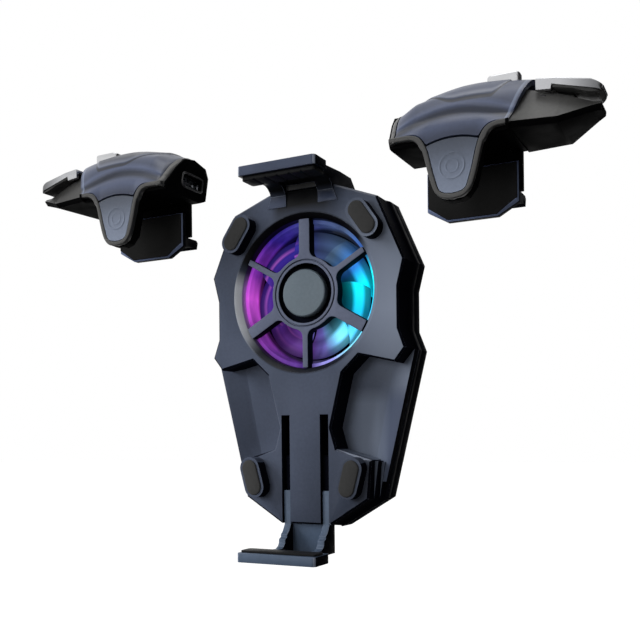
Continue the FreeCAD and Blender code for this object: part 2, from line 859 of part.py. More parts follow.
def fan_frame():
    """Ring, three arms and the base that carries the motor."""
    body = new_body("fan_frame")
    ring_front, arm_front, arm_back = frame_levels()
    inner = s.duct_radius
    outer = inner + s.frame_ring
    about = draw(body, "axis", "y", ring_front, [circle(0, 0, outer)], FAN)
    pad(body, "ring", "y", ring_front, arm_front + 0.2, [circle(0, 0, outer), circle(0, 0, inner)],
        FAN)
    pad(body, "base", "y", arm_front, arm_back, [circle(0, 0, s.base_radius)], FAN)
    arm = box(-s.arm_wide / 2, s.arm_wide / 2, -(outer - 0.2), -(s.base_radius - 0.6))
    first = pad(body, "arm", "y", arm_front, arm_back, [arm], FAN)
    repeat(body, "arms", first, 3, about)
    cut(body, "bearing_seat", "y", arm_front, arm_back,
        [circle(0, 0, bearing_outer())], FAN)
    return body


def bearing_outer():
    return s.shaft_radius + s.running_gap + s.bearing_wall


def hub_front():
    return FACE + s.blade_front


def bearing():
    """Plain sleeve bearing pressed into the frame's base."""
    ring_front, arm_front, arm_back = frame_levels()
    start = hub_front() + s.hub_wall + 0.3
    inner = s.shaft_radius + s.running_gap
    return tube("bearing", bearing_outer(), inner, start, arm_back, *FAN)


def motor_stator():
    """Laminated core with its wound poles, pushed onto the bearing."""
    body = new_body("motor_stator")
    magnet_inner = s.hub_radius - s.hub_wall - s.magnet_thick
    outer = magnet_inner - s.stator_gap
    front = hub_front() + s.hub_wall + 0.5
    ring_front, arm_front, arm_back = frame_levels()
    core = [circle(0, 0, bearing_outer() + 1), circle(0, 0, bearing_outer())]
    about = draw(body, "axis", "y", front, [circle(0, 0, outer)], FAN)
    pad(body, "core", "y", front, arm_front, core, FAN)
    pole = box(-s.pole_wide / 2, s.pole_wide / 2, bearing_outer() + 0.5, outer)
    first = pad(body, "pole", "y", front + 0.3, arm_front - 0.6, [pole], FAN)
    repeat(body, "poles", first, s.pole_count, about)
    return body


def fan_rotor():
    """Hub cup with its curved blades."""
    body = new_body("fan_rotor")
    front = hub_front()
    back = front + s.hub_deep
    about = draw(body, "axis", "y", front, [circle(0, 0, s.hub_radius)], FAN)
    pad(body, "hub", "y", front, back, [circle(0, 0, s.hub_radius)], FAN)
    inner = s.hub_radius - s.hub_wall
    cut(body, "cup", "y", front + s.hub_wall, back, [circle(0, 0, inner)], FAN)
    start = front + 0.2
    end = start + s.blade_deep
    thick = s.blade_thick
    root = [(-2.6, start), (thick - 2.6, start), (2.6, end), (2.6 - thick, end)]
    tip = [(-4.6, start), (thick - 4.6, start), (3.4, end), (3.4 - thick, end)]
    root_level = s.fan_level + inner
    tip_level = s.fan_level + s.blade_radius - 0.6
    blade = loft(body, "AdditiveLoft", "blade", "z", [(root_level, root), (tip_level, tip)])
    repeat(body, "blades", blade, s.blade_count, about)
    cut(body, "shaft_seat", "y", front, front + s.hub_wall,
        [circle(0, 0, s.shaft_radius)], FAN)
    return body


def rotor_magnet():
    """Ring magnet inside the hub cup."""
    outer = s.hub_radius - s.hub_wall
    front = hub_front()
    inner = outer - s.magnet_thick
    start = front + s.hub_wall
    return tube("rotor_magnet", outer, inner, start, front + s.hub_deep - 0.3, *FAN)


def rotor_shaft():
    """Shaft fixed in the hub cup and running in the bearing."""
    ring_front, arm_front, arm_back = frame_levels()
    return rod("rotor_shaft", s.shaft_radius, hub_front(), arm_back - 0.4, *FAN)


def control_board():
    """Main circuit board with the power switch soldered on."""
    body = new_body("control_board")
    front = PARTING + s.frame_gap
    back = front + s.board_thick
    pad(body, "board", "y", front, back, [polygon(both([
        (s.main_board_broad, -s.main_board_top_drop),
        (s.main_board_broad, -s.main_board_step_drop),
        (s.main_board_wide, -s.main_board_step_drop - 1.5),
        (s.main_board_wide, -s.main_board_low_drop)]))])
    half = s.switch_wide / 2
    switch = box(-half, half, -s.button_drop - half, -s.button_drop + half)
    pad(body, "switch", "y", back - 0.1, back + s.switch_thick, [switch])
    plunger = [circle(0, -s.button_drop, half * 0.45)]
    pad(body, "plunger", "y", back, button_foot() - s.button_travel - 0.1, plunger)
    return body


def button_foot():
    """Front end of the power button, which stops short of the switch."""
    return LID - s.button_flange - s.fit_gap


def battery():
    """Flat cell on the back of the main board."""
    body = new_body("battery")
    start = PARTING + s.frame_gap + s.board_thick + s.fit_gap
    top = -s.cell_top_drop
    cell = box(-s.cell_wide / 2, s.cell_wide / 2, top - s.cell_tall, top)
    pad(body, "cell", "y", start, start + s.cell_thick, [cell])
    dress(body, "Fillet", "corners", s.cell_thick * 0.3, along("z"))
    return body


def usb_board():
    """Small board beside the fan that carries the charging socket."""
    body = new_body("usb_board")
    right = -(s.duct_radius + s.frame_ring + s.fit_gap)
    half = s.usb_wide / 2 + 0.8
    outline = box(right - s.usb_board_wide, right, s.usb_level - half, s.usb_level + half)
    back = PARTING + s.frame_gap + s.frame_ring_deep
    pad(body, "board", "y", back - s.board_thick, back, [outline])
    return body


def cooler_socket():
    """Charging socket in the left wall."""
    body = new_body("usb_socket")
    front = PARTING + s.frame_gap + s.frame_ring_deep
    mouth = -(s.waist_half + s.fit_gap)
    socket(body, front, front + s.usb_thick, mouth, mouth + s.usb_deep, s.usb_level)
    return body


def socket(body, low, high, mouth, rear, level):
    """Metal shell along X with a tongue, lying flat with its width along Z."""
    skin = s.usb_skin
    half = s.usb_wide / 2
    pad(body, "shell", "x", mouth, rear, [box(low, high, level - half, level + half)])
    hollow = box(low + skin, high - skin, level - half + skin, level + half - skin)
    cut(body, "mouth", "x", mouth, rear - skin * 3, [hollow])
    middle = (low + high) / 2
    tongue = box(middle - s.usb_tongue / 2, middle + s.usb_tongue / 2,
                 level - half * 0.7, level + half * 0.7)
    pad(body, "tongue", "x", mouth + skin * 3, rear - skin, [tongue])


def power_button():
    """Round push button in the lid."""
    body = new_body("power_button")
    flange = button_foot() + s.button_flange
    low = -s.button_drop
    pad(body, "flange", "y", button_foot(), flange, [circle(0, low, s.button_radius + 0.8)])
    pad(body, "cap", "y", flange, BACK + s.button_proud, [circle(0, low, s.button_radius)])
    dress(body, "Fillet", "cap_edge", s.button_proud * 0.8, on_level("y", BACK + s.button_proud))
    return body


def top_hook():
    """Fixed hook: a bar over the phone's top edge on two curved struts."""
    body = new_body("top_hook")
    bar_low = PHONE_TOP + s.soft_thick
    bar_top = bar_low + s.hook_bar_thick
    arm_top = bar_top + s.hook_arm_rise
    front = FACE - s.hook_reach
    rear = FACE + s.hook_arm_deep
    seat = s.face_top
    foot = seat - s.strut_foot
    profile = [
        (front + 2, bar_low), (FACE - 3.2, bar_low), (FACE - 2.2, bar_low - 0.3),
        (FACE - 1.1, bar_low - 1.1), (FACE - 0.4, bar_low - 2.1), (FACE - 0.2, foot + 0.8),
        (FACE, foot), (FACE, seat), (rear, seat), (rear, seat + 1.6),
        (rear - 2.4, arm_top), (FACE + 3.5, arm_top), (-2.0, bar_top + 0.1), (front + 2, bar_top)]
    pad(body, "arm", "x", -s.arm_half, s.arm_half, [polygon(profile)])
    for side, name in ((1, "right_foot"), (-1, "left_foot")):
        flare = sided(side, [(s.strut_inner, foot), (s.arm_flare, foot),
                             (s.arm_half - 0.1, foot + 2.8), (s.strut_inner, foot + 2.8)])
        pad(body, name, "y", FACE - 0.25, FACE, [polygon(flare)])
    hollow = [(FACE - 6, foot - 1), (FACE + 0.1, foot - 1), (FACE + 0.1, seat + 1.2),
              (FACE - 2.4, seat + 1.2), (FACE - 6, bar_low)]
    cut(body, "hollow", "x", -s.strut_inner, s.strut_inner, [polygon(hollow)])
    bar = box(-s.hook_half, s.hook_half, front, FACE - 6.5)
    pad(body, "bar", "z", bar_low, bar_top, [bar])

    def outer_corner(edge):
        return along("z")(edge) and abs(edge.Vertexes[0].X) > s.hook_half.value - 0.01
    dress(body, "Fillet", "bar_corners", s.edge_bevel * 2, outer_corner)
    return body


def hook_pad():
    """Soft strip under the hook's bar, cut in shallow ribs."""
    body = new_body("hook_pad")
    front = FACE - s.hook_reach + s.soft_inset
    half = s.hook_half - s.soft_inset * 0.6
    top = PHONE_TOP + s.soft_thick
    rear = FACE - 6.9
    pad(body, "strip", "z", PHONE_TOP, top, [box(-half, half, front, rear)])
    dress(body, "Fillet", "corners", s.soft_thick * 0.7, along("z"))
    ribs = [polygon([(x - 0.5, PHONE_TOP - 0.1), (x + 0.5, PHONE_TOP - 0.1), (x, PHONE_TOP + 0.35)])
            for x in (-6.0, -3.0, 0.0, 3.0, 6.0)]
    cut(body, "grooves", "y", front, rear, ribs)
    return body


def lower_claw():
    """Sliding claw: a bar under the phone, two legs in the slots and the slider between."""
    body = new_body("lower_claw")
    soft = s.claw_soft_thick
    bar_top = PHONE_LOW - soft
    bar_low = bar_top - s.claw_bar_thick
    leg_front = FACE + s.leg_sink
    tail = -s.tail_drop
    rear = FACE - 7.5
    leg = polygon([
        (leg_front, -s.leg_top_drop), (s.leg_back, -s.leg_top_drop), (s.leg_back, bar_low + 0.6),
        (0.8, bar_low + 0.6), (-0.8, bar_low), (rear - 0.5, bar_low), (rear - 0.5, bar_top),
        (-0.4, bar_top - 0.2), (0.7, bar_top + 0.3), (1.2, tail - 4.4), (1.3, tail - 3.5),
        (2.2, tail - 3.1), (2.2, tail - 2.5), (3.0, tail - 1.9), (3.5, tail - 1.2),
        (leg_front, tail - 0.2)])
    inner = s.slot_inner + s.leg_play
    outer = s.slot_outer - s.leg_play
    for side, name in ((1, "right_leg"), (-1, "left_leg")):
        edges = (inner, outer) if side > 0 else (-outer, -inner)
        pad(body, name, "x", edges[0], edges[1], [leg])
    slider = box(-outer, outer, bar_low + 0.7, -s.slider_top_drop)
    pad(body, "slider", "y", s.leg_back - s.slider_thick, s.leg_back, [slider])
    bar = box(-s.claw_half, s.claw_half, FACE - s.claw_reach, rear)
    pad(body, "bar", "z", bar_low, bar_top, [bar])

    def outer_corner(edge):
        return along("z")(edge) and abs(edge.Vertexes[0].X) > s.claw_half.value - 0.01
    dress(body, "Fillet", "bar_corners", s.edge_bevel * 2, outer_corner)
    return body


def claw_pad():
    """Soft strip on the claw's bar."""
    body = new_body("claw_pad")
    half = s.claw_half - s.soft_inset * 0.4
    front = FACE - s.claw_reach + s.soft_inset
    low = PHONE_LOW - s.claw_soft_thick
    pad(body, "strip", "z", low, PHONE_LOW, [box(-half, half, front, FACE - 9.4)])
    dress(body, "Fillet", "corners", s.claw_soft_thick * 1.6, along("z"))
    return body


def claw_guide():
    """Rail plate that closes the slider's channel from behind."""
    body = new_body("claw_guide")
    start = s.leg_back + s.guide_play
    half = s.slot_outer - s.fit_gap
    low = -s.tail_drop + 0.5
    pad(body, "plate", "y", start, start + s.guide_thick, [box(-half, half, low, -s.guide_top_drop - 1)])
    rails = [box(side * (half - 1.2), side * half, low, -s.guide_top_drop - 1) for side in (1, -1)]
    pad(body, "rails", "y", start, PARTING, rails)
    return body


SEAT = PHONE_TOP + s.module_clear
SHELL_TOP = SEAT + s.wing_thick
LIP = -(s.phone_thick + s.front_lip)


def module_body(side_name, side, part):
    """Body of one trigger module, drawn about the module's own middle plane."""
    body = new_body("%s_%s" % (side_name, part))
    body.setExpression("Placement.Base.x", (side * s.module_half_gap).formula)
    return body


def wing_profile():
    """Section of the wing's floor in Y and Z."""
    return [
        (LIP, SHELL_TOP), (LIP, SHELL_TOP - s.rim_high), (LIP + 1.0, SEAT + 0.3),
        (LIP + 2.4, SEAT), (s.wing_back - 2.4, SEAT), (s.wing_back - 0.6, SEAT + 0.7),
        (s.wing_back, SHELL_TOP)]


def grip_sections():
    """Sections of the grip, each at its distance out from the module's middle."""
    def section(front, front_low, ridge, ridge_top, back, back_low, back_top):
        return [(front, front_low), (ridge, ridge_top), (ridge + 6.0, ridge_top),
                (back, back_top), (back - 0.5, back_low), (front + 1.0, front_low - 0.9)]
    return [
        (s.wing_outer - 0.2,
         section(LIP + 0.3, SEAT + 1.2, -7.6, SEAT + 9.3, s.wing_back, SEAT + 0.3, SEAT + 6.6)),
        (s.grip_bend,
         section(LIP + 1.1, SEAT + 0.9, -7.2, SEAT + 6.6, s.wing_back - 0.5, SEAT + 0.4, SEAT + 4.4)),
        (s.grip_tip_half,
         section(-8.8, SEAT + 2.9, -7.2, SEAT + 4.1, -0.6, SEAT + 2.2, SEAT + 3.7)),
        (s.grip_reach,
         section(-8.2, SEAT + 3.2, -7.6, SEAT + 3.8, -1.4, SEAT + 2.8, SEAT + 3.6))]


def tongue_half(inset=0):
    """Right half of the tongue's outline from its root to its tip."""
    inset = size(inset)
    return [
        (s.tongue_root - inset, SHELL_TOP - s.rim_high * 0.8),
        (s.tongue_top - inset, SHELL_TOP - s.wing_thick - 0.8),
        (s.tongue_mid - inset, SEAT - 5.6),
        (s.tongue_low - inset, SEAT - 9.4),
        (s.tongue_tip - inset * 0.5, SEAT - s.tongue_drop + 0.6 + inset * 0.9),
        (1.1, SEAT - s.tongue_drop + inset)]


def ordered(side, low, high):
    """Two levels along X of a mirrored module, in rising order."""
    return (size(low), size(high)) if side > 0 else (-size(high), -size(low))


def socket_levels():
    """Underside and top of the module's charging socket."""
    low = SEAT + s.floor_wall + s.board_thick + s.socket_lift
    return low, low + s.usb_thick


def main_shell(side_name, side):
    """Dark lower shell: wing floor, end wall, tongue, rear leg and grip."""
    body = module_body(side_name, side, "main_shell")
    start, end = ordered(side, -s.wing_inner, s.wing_outer)
    pad(body, "wing", "x", start, end, [polygon(wing_profile())])
    tongue = both(tongue_half())
    pad(body, "tongue", "y", LIP, LIP + s.tongue_deep, [polygon(tongue)])
    stations = [(side * station, points) for station, points in grip_sections()]
    if side < 0:
        stations.reverse()
    loft(body, "AdditiveLoft", "grip", "x", stations)
    start, end = ordered(side, -s.wing_inner - s.wing_lean, -s.wing_inner + s.end_wall)
    pad(body, "end_wall", "x", start, end, [polygon(cover_section("end"))])
    outside = sided(side, [
        (-s.wing_inner - 3, SEAT - 1), (end_line(SEAT - 1), SEAT - 1),
        (end_line(END_TOP), END_TOP), (-s.wing_inner - 3, END_TOP)])
    cut(body, "end_lean", "y", LIP, s.wing_back + 0.1, [polygon(outside)])
    inside = sided(side, [
        (end_line(SHELL_TOP) + s.end_wall, SHELL_TOP), (-s.wing_inner + s.end_wall + 1, SHELL_TOP),
        (-s.wing_inner + s.end_wall + 1, END_TOP), (end_line(END_TOP) + s.end_wall, END_TOP)])
    cut(body, "end_inside", "y", LIP, s.wing_back + 0.1, [polygon(inside)])
    leg = box(-s.leg_half, s.leg_half, SEAT - s.leg_drop, SEAT + 0.5)
    pad(body, "leg", "y", s.leg_front, s.leg_front + s.leg_thick, [leg])
    boss_low = SEAT - s.leg_drop + 0.4
    boss = box(-s.boss_half, s.boss_half, boss_low, boss_low + s.boss_tall)
    pad(body, "boss", "y", s.leg_front + s.leg_thick - 0.1, boss_back(), [boss])
    hollow = sided(side, [
        (-s.wing_inner + s.end_wall, LIP + s.tongue_deep * 0.4),
        (s.wing_outer - 1.4, LIP + s.tongue_deep * 0.4),
        (s.wing_outer - 1.4, s.wing_back - s.cover_wall),
        (-s.wing_inner + s.end_wall, s.wing_back - s.cover_wall)])
    cut(body, "tray", "z", SEAT + s.floor_wall, SHELL_TOP + 0.1, [polygon(hollow)])
    slant = sided(side, [
        (s.wing_outer - 2, SHELL_TOP), (s.wing_outer, SHELL_TOP),
        (s.wing_outer + s.cut_lean, SHELL_TOP + 10), (s.wing_outer - 2, SHELL_TOP + 10)])
    cut(body, "cover_edge", "y", LIP, s.wing_back + 0.1, [polygon(slant)])
    seat_top = (s.tongue_root - s.rim_wide + 0.2, SHELL_TOP + 0.1)
    inlay = both([seat_top] + tongue_half(s.rim_wide))
    cut(body, "inlay_seat", "y", LIP, LIP + s.inlay_thick, [polygon(inlay)])
    low, high = socket_levels()
    play = s.fit_gap
    window = box(socket_middle() - s.usb_wide / 2 - play, socket_middle() + s.usb_wide / 2 + play,
                 low - play, high + play)
    start, end = ordered(side, -s.wing_inner - 1, -s.wing_inner + s.end_wall)
    cut(body, "socket_window", "x", start, end, [window])
    well = sided(side, [
        (s.well_start, -s.well_front), (s.well_end, -s.well_front),
        (s.well_end, -s.well_back), (s.well_start, -s.well_back)])
    cut(body, "trigger_well", "z", SEAT + s.well_floor, SEAT + 12, [polygon(well)])
    hinge = circle(side * s.hinge_out, SEAT + s.hinge_rise, s.pin_radius)
    cut(body, "hinge_bore", "y", hinge_levels()[0], hinge_levels()[1], [hinge])
    pin_level = pin_height()
    seats = [circle(x, pin_level, s.jaw_pin_radius + s.spring_wall + 2 * s.spring_play)
             for x in (s.pin_half_gap, -s.pin_half_gap)]
    cut(body, "spring_seats", "y", s.leg_front, s.leg_front + s.spring_seat, seats)
    bores = [circle(x, pin_level, s.jaw_pin_radius + s.running_gap)
             for x in (s.pin_half_gap, -s.pin_half_gap)]
    cut(body, "pin_bores", "y", s.leg_front, boss_back(), bores)
    play = 2 * s.screw_play
    holes = [circle(side * x, y, s.screw_radius + play) for x, y in module_screw_places()]
    cut(body, "screw_holes", "z", SEAT, SHELL_TOP + 0.1, holes)
    heads = [circle(side * x, y, s.screw_head_radius + play) for x, y in module_screw_places()]
    cut(body, "screw_seats", "z", SEAT, SEAT + s.screw_head_thick, heads)
    return body


END_TOP = SEAT + s.crown_inner + 1


def end_line(level):
    """Distance out of the leaning end wall's outer face at a height."""
    rise = (level - SEAT) / s.crown_inner
    return -s.wing_inner + 0.3 - rise * (s.wing_lean + 0.2)


def boss_back():
    return s.leg_front + s.leg_thick + s.boss_thick


def pin_height():
    return SEAT - s.leg_drop + 0.4 + s.boss_tall / 2


def socket_middle():
    """Middle of the module's socket along Y."""
    return -(s.phone_thick - s.wing_back) + 1.5


def hinge_levels():
    """Front and back end of the trigger's hinge pin."""
    return -(s.well_front + 1.6), -(s.well_back - 1.4)


def module_screw_places():
    """Distance out and level along Y of the two screws from below."""
    level = s.leg_front - s.screw_head_radius - 0.2
    return [(-s.wing_inner + s.usb_deep + 2.2, level), (s.wing_outer - 3, level)]


def cover_section(place):
    """Outline of the blue cover in Y and Z at one of its stations."""
    back = s.wing_back
    crown = -s.crown_back
    if place == "end":
        rise = s.crown_inner
        return [(LIP + 0.8, SHELL_TOP - s.rim_high * 0.9), (LIP + 2.4, SHELL_TOP + 1.0),
                (-7.9, SHELL_TOP + 4.4), (-5.2, SEAT + rise - 0.6), (crown, SEAT + rise),
                (back - 1.6, SEAT + rise - 0.9), (back - 0.1, SHELL_TOP + 4.6),
                (back - 0.1, SHELL_TOP - s.rim_high * 0.9)]
    if place == "inner":
        rise = s.crown_step
        points = [(LIP + 0.1, 0), (LIP + 1.2, 2.8), (-7.9, rise - s.wing_thick - 1.5),
                  (-5.0, rise - s.wing_thick - 0.4)]
    elif place == "middle":
        rise = s.crown_middle
        points = [(LIP, 0), (LIP + 0.5, 2.6), (-10.2, rise - s.wing_thick - 4.6),
                  (-5.5, rise - s.wing_thick - 0.8)]
    else:
        rise = s.crown_outer
        points = [(LIP + 0.2, 0), (LIP + 0.5, 2.0), (-11.3, rise - s.wing_thick - 5.7),
                  (-6.5, rise - s.wing_thick - 0.9)]
    top = rise - s.wing_thick
    points += [(crown, top), (back - 2.2, top - 2.2), (back, 4.1), (back, 0)]
    return [(a, SHELL_TOP + b) for a, b in points]


def inner_section(section):
    """The same outline drawn inwards by the cover's wall."""
    wall = s.cover_wall
    moves = [(1, 0), (1.1, 0), (0.9, -0.9), (0.2, -1), (0, -1), (-0.7, -0.9), (-1, -0.2), (-1, 0)]
    return [(a + wall * across, b + wall * up) for (a, b), (across, up) in zip(section, moves)]


def cover_stations():
    """Stations of the cover along X: inner end, shoulder, middle and two at the outer end."""
    return [(end_line(END_TOP) + s.end_wall - 0.2, "inner_end"), (-8.5, "inner"), (0, "middle"), (9, "outer"),
            (s.wing_outer + s.cut_lean, "outer_end")]


def station_section(place):
    if place == "inner_end":
        points = cover_section("end")
        raised = [(points[0][0], SHELL_TOP)] + points[1:-1] + [(points[-1][0], SHELL_TOP)]
        return raised
    if place == "outer_end":
        points = cover_section("outer")
        return [points[0], points[1]] + [(a + 0.5, b - 0.9) for a, b in points[2:6]] + points[6:]
    return cover_section(place)


def top_cover(side_name, side):
    """Blue upper shell over the wing, open below and at its outer end."""
    body = module_body(side_name, side, "top_cover")
    outside = [(side * size(x), station_section(place)) for x, place in cover_stations()]
    inside = [(side * size(x), inner_section(station_section(place)))
              for x, place in cover_stations()]
    if side < 0:
        outside.reverse()
        inside.reverse()
    loft(body, "AdditiveLoft", "outside", "x", outside)
    loft(body, "SubtractiveLoft", "inside", "x", inside)
    posts = [circle(side * x, y, s.screw_radius + s.post_wall * 0.6)
             for x, y in module_screw_places()]
    pad(body, "posts", "z", SHELL_TOP, SHELL_TOP + 4, posts)
    holes = [circle(side * x, y, s.screw_radius + s.screw_play) for x, y in module_screw_places()]
    cut(body, "post_holes", "z", SHELL_TOP, SHELL_TOP + 3.4, holes)
    apron = [(s.tongue_root - s.rim_wide, 0.3), (s.tongue_top - s.rim_wide - 0.3, -s.seam_drop),
             (2.3, -s.seam_drop + s.seam_rise * 0.8), (0, -s.seam_drop + s.seam_rise)]
    apron = [(a, SHELL_TOP + b) for a, b in apron]
    pad(body, "apron", "y", LIP, LIP + s.inlay_thick, [polygon(both(apron))])
    play = s.key_play
    hole = sided(side, [(s.key_out - s.key_long / 2 - play, -s.key_front - s.key_deep / 2 - play),
                        (s.key_out + s.key_long / 2 + play, -s.key_front - s.key_deep / 2 - play),
                        (s.key_out + s.key_long / 2 + play, -s.key_front + s.key_deep / 2 + play),
                        (s.key_out - s.key_long / 2 - play, -s.key_front + s.key_deep / 2 + play)])
    cut(body, "key_hole", "z", SEAT + s.key_top - 5, SEAT + s.key_top + 3, [polygon(hole)])
    slant = sided(side, [
        (s.wing_outer - 0.1, SHELL_TOP - 0.1),
        (s.wing_outer + s.cut_lean + 1, SHELL_TOP - 0.1),
        (s.wing_outer + s.cut_lean + 1, SHELL_TOP + 14),
        (s.wing_outer + s.cut_lean * 1.4 - 0.1, SHELL_TOP + 14)])
    cut(body, "outer_edge", "y", LIP - 1, s.wing_back + 1, [polygon(slant)])
    lean = sided(side, [
        (-s.wing_inner - 3, SHELL_TOP - 0.1),
        (end_line(SHELL_TOP - 0.1) + s.end_wall, SHELL_TOP - 0.1),
        (end_line(END_TOP) + s.end_wall, END_TOP), (-s.wing_inner - 3, END_TOP)])
    cut(body, "inner_edge", "y", LIP - 1, s.wing_back + 1, [polygon(lean)])
    return body


def tongue_panel(side_name, side):
    """Blue inlay in the tongue with a plain engraved ring."""
    body = module_body(side_name, side, "tongue_panel")
    edge = s.rim_wide + s.inlay_play
    lower = tongue_half(edge)[2:]
    seam = SHELL_TOP - s.seam_drop - s.inlay_play
    upper = [(0, seam + s.seam_rise), (2.3, seam + s.seam_rise * 0.8),
             (s.tongue_top - s.rim_wide - 0.3, seam)]
    half = upper + lower
    pad(body, "inlay", "y", LIP, LIP + s.inlay_thick, [polygon(both(half))])
    level = SEAT - s.icon_level
    ring = [circle(0, level, s.icon_radius), circle(0, level, s.icon_radius - s.icon_line)]
    cut(body, "ring_mark", "y", LIP, LIP + 0.2, ring)
    return body


def touch_pad(side_name, side):
    """Soft conductive pad that presses the screen."""
    body = module_body(side_name, side, "touch_pad")
    front = LIP + s.tongue_deep
    top = SEAT - 1
    pad(body, "face", "y", front, front + s.touch_thick,
        [box(-s.touch_wide / 2, s.touch_wide / 2, top - s.touch_tall, top)])
    dress(body, "Fillet", "corners", s.touch_thick * 0.8, along("y"))
    return body


def jaw_outline(inset=0):
    """Plate with cut lower corners in X and Z."""
    inset = size(inset)
    half = s.jaw_half - inset
    top = SEAT - s.jaw_top - inset
    low = SEAT - s.jaw_top - s.jaw_tall + inset
    return both([(half, top), (half, low + s.jaw_corner_tall),
                 (half - s.jaw_corner_wide + inset * 0.5, low)])


def jaw_plate(side_name, side):
    """Sliding plate behind the phone with its thumb tab."""
    body = module_body(side_name, side, "jaw_plate")
    pad(body, "plate", "y", 0, s.jaw_thick, [polygon(jaw_outline())])
    dress(body, "Chamfer", "bevel", s.jaw_bevel, on_level("y", 0))
    tab_top = SEAT - s.leg_drop - s.thumb_gap
    tab = [(s.jaw_thick - 0.1, tab_top - s.thumb_thick), (s.jaw_thick - 0.1, tab_top),
           (s.thumb_reach - 0.6, tab_top), (s.thumb_reach, tab_top - 0.5),
           (s.thumb_reach - 0.4, tab_top - s.thumb_thick + 0.2),
           (s.thumb_reach - 1.6, tab_top - s.thumb_thick + 0.6)]
    pad(body, "thumb_tab", "x", -s.thumb_half, s.thumb_half, [polygon(tab)])
    cut(body, "inlay_seat", "y", 0, s.jaw_inlay, [polygon(jaw_outline(s.jaw_rim))])
    return body


def jaw_pad(side_name, side):
    """Dark soft face of the jaw plate."""
    body = module_body(side_name, side, "jaw_pad")
    pad(body, "face", "y", 0, s.jaw_inlay, [polygon(jaw_outline(s.jaw_rim))])
    return body


def jaw_pins(side_name, side):
    """Two guide pins fixed in the jaw plate."""
    body = module_body(side_name, side, "jaw_pins")
    places = [circle(x, pin_height(), s.jaw_pin_radius) for x in (s.pin_half_gap, -s.pin_half_gap)]
    pad(body, "pins", "y", s.jaw_thick, boss_back() - s.fit_gap, places)
    return body


def jaw_springs(side_name, side):
    """Two short springs round the guide pins, each drawn as its sleeve."""
    body = module_body(side_name, side, "jaw_springs")
    inner = s.jaw_pin_radius + s.spring_play
    sleeves = []
    for x in (s.pin_half_gap, -s.pin_half_gap):
        sleeves.append(circle(x, pin_height(), inner + s.spring_wall))
        sleeves.append(circle(x, pin_height(), inner))
    pad(body, "sleeves", "y", s.jaw_thick, s.leg_front + s.spring_seat, sleeves)
    return body


def lever_line(out):
    """Height of the trigger's top above the seat at a distance out."""
    slope = s.lever_fall / (s.lever_reach - s.lever_start)
    return SEAT + s.lever_top - (out - s.lever_start) * slope


def trigger_plate(side_name, side):
    """Bright upper plate of the trigger with its front skirt."""
    body = module_body(side_name, side, "trigger_plate")
    start, reach = s.lever_start, s.lever_reach
    skirt_end = s.lever_start + s.lever_skirt
    top = [(start, lever_line(start)), (start + 3.5, lever_line(start + 3.5) + 0.3),
           (reach - 2.2, lever_line(reach - 2.2) + 0.2), (reach, lever_line(reach) - 0.6),
           (reach, lever_line(reach) - 1.2), (reach - 2.2, lever_line(reach - 2.2) - s.lever_skin),
           (skirt_end, lever_line(skirt_end) - s.lever_skin),
           (start, lever_line(start) - s.lever_skin)]
    pad(body, "skin", "y", -s.lever_front, -s.lever_back, [polygon(sided(side, top))])
    skirt_low = lever_line(start) - s.lever_skirt
    skirt = [(start, lever_line(start) - 0.3), (start, skirt_low + 0.7),
             (skirt_end - 0.2, skirt_low + 0.4), (skirt_end, lever_line(skirt_end) - 0.3)]
    pad(body, "skirt", "y", -s.lever_front, -s.lever_front + s.lever_skin,
        [polygon(sided(side, skirt))])

    def tip_corner(edge):
        return along("z")(edge) and abs(edge.Vertexes[0].X) > s.lever_reach.value - 0.01
    dress(body, "Fillet", "tip_corners", s.lever_skin * 1.8, tip_corner)
    return body


def trigger_core(side_name, side):
    """Dark lower half of the trigger with the root that turns on the hinge pin."""
    body = module_body(side_name, side, "trigger_core")
    start, reach = s.lever_start, s.lever_reach
    skin = s.lever_skin
    first = start + s.lever_skirt
    lower = [(first + 0.1, lever_line(first + 0.1) - skin), (reach - 2.2, lever_line(reach - 2.2) - skin),
             (reach - 0.1, lever_line(reach) - 1.25), (reach - 0.1, SEAT + 5.6),
             (reach - 1.0, SEAT + 5.1), (reach - 3.0, SEAT + 5.5), (reach - 5.6, SEAT + 6.6),
             (first + 0.1, SEAT + 7.5)]
    pad(body, "body", "y", -s.lever_front + 0.2, -s.lever_back - 0.2, [polygon(sided(side, lower))])
    front = -(s.well_front - s.root_play)
    back = -(s.well_back + s.root_play)
    root = [(s.well_start + s.root_play, lever_line(start) - skin),
            (first + 0.6, lever_line(first + 0.6) - skin),
            (first + 0.6, SEAT + s.hinge_rise - 1.2),
            (s.hinge_out, SEAT + s.hinge_rise - 1.6),
            (s.well_start + s.root_play, SEAT + s.hinge_rise - 1.2)]
    pad(body, "root", "y", front, back, [polygon(sided(side, root))])
    foot_out = first + 3.2
    foot_drop = (foot_out - s.hinge_out) * turn("sin", s.trigger_travel)
    foot_low = trigger_switch_top() + foot_drop + s.fit_gap
    near, far = first + 0.4, first + 3.4
    foot = [(near, lever_line(near) - skin - 0.15), (far, lever_line(far) - skin - 0.2),
            (foot_out, foot_low), (first + 1.4, foot_low)]
    pad(body, "foot", "y", front + 1, back - 1, [polygon(sided(side, foot))])
    bore = [circle(side * s.hinge_out, SEAT + s.hinge_rise, s.pin_radius + s.running_gap)]
    cut(body, "hinge_bore", "y", front, back, bore)

    def tip_corner(edge):
        far = abs(edge.Vertexes[0].X) > s.lever_reach.value - 0.11
        return along("z")(edge) and far
    dress(body, "Fillet", "tip_corners", s.lever_skin * 1.9, tip_corner)
    return body


def trigger_pin(side_name, side):
    """Steel pin of the trigger's hinge, held in the grip."""
    front, back = hinge_levels()
    across = side * (s.module_half_gap + s.hinge_out)
    return rod(side_name + "_trigger_pin", s.pin_radius, front, back, across, SEAT + s.hinge_rise)


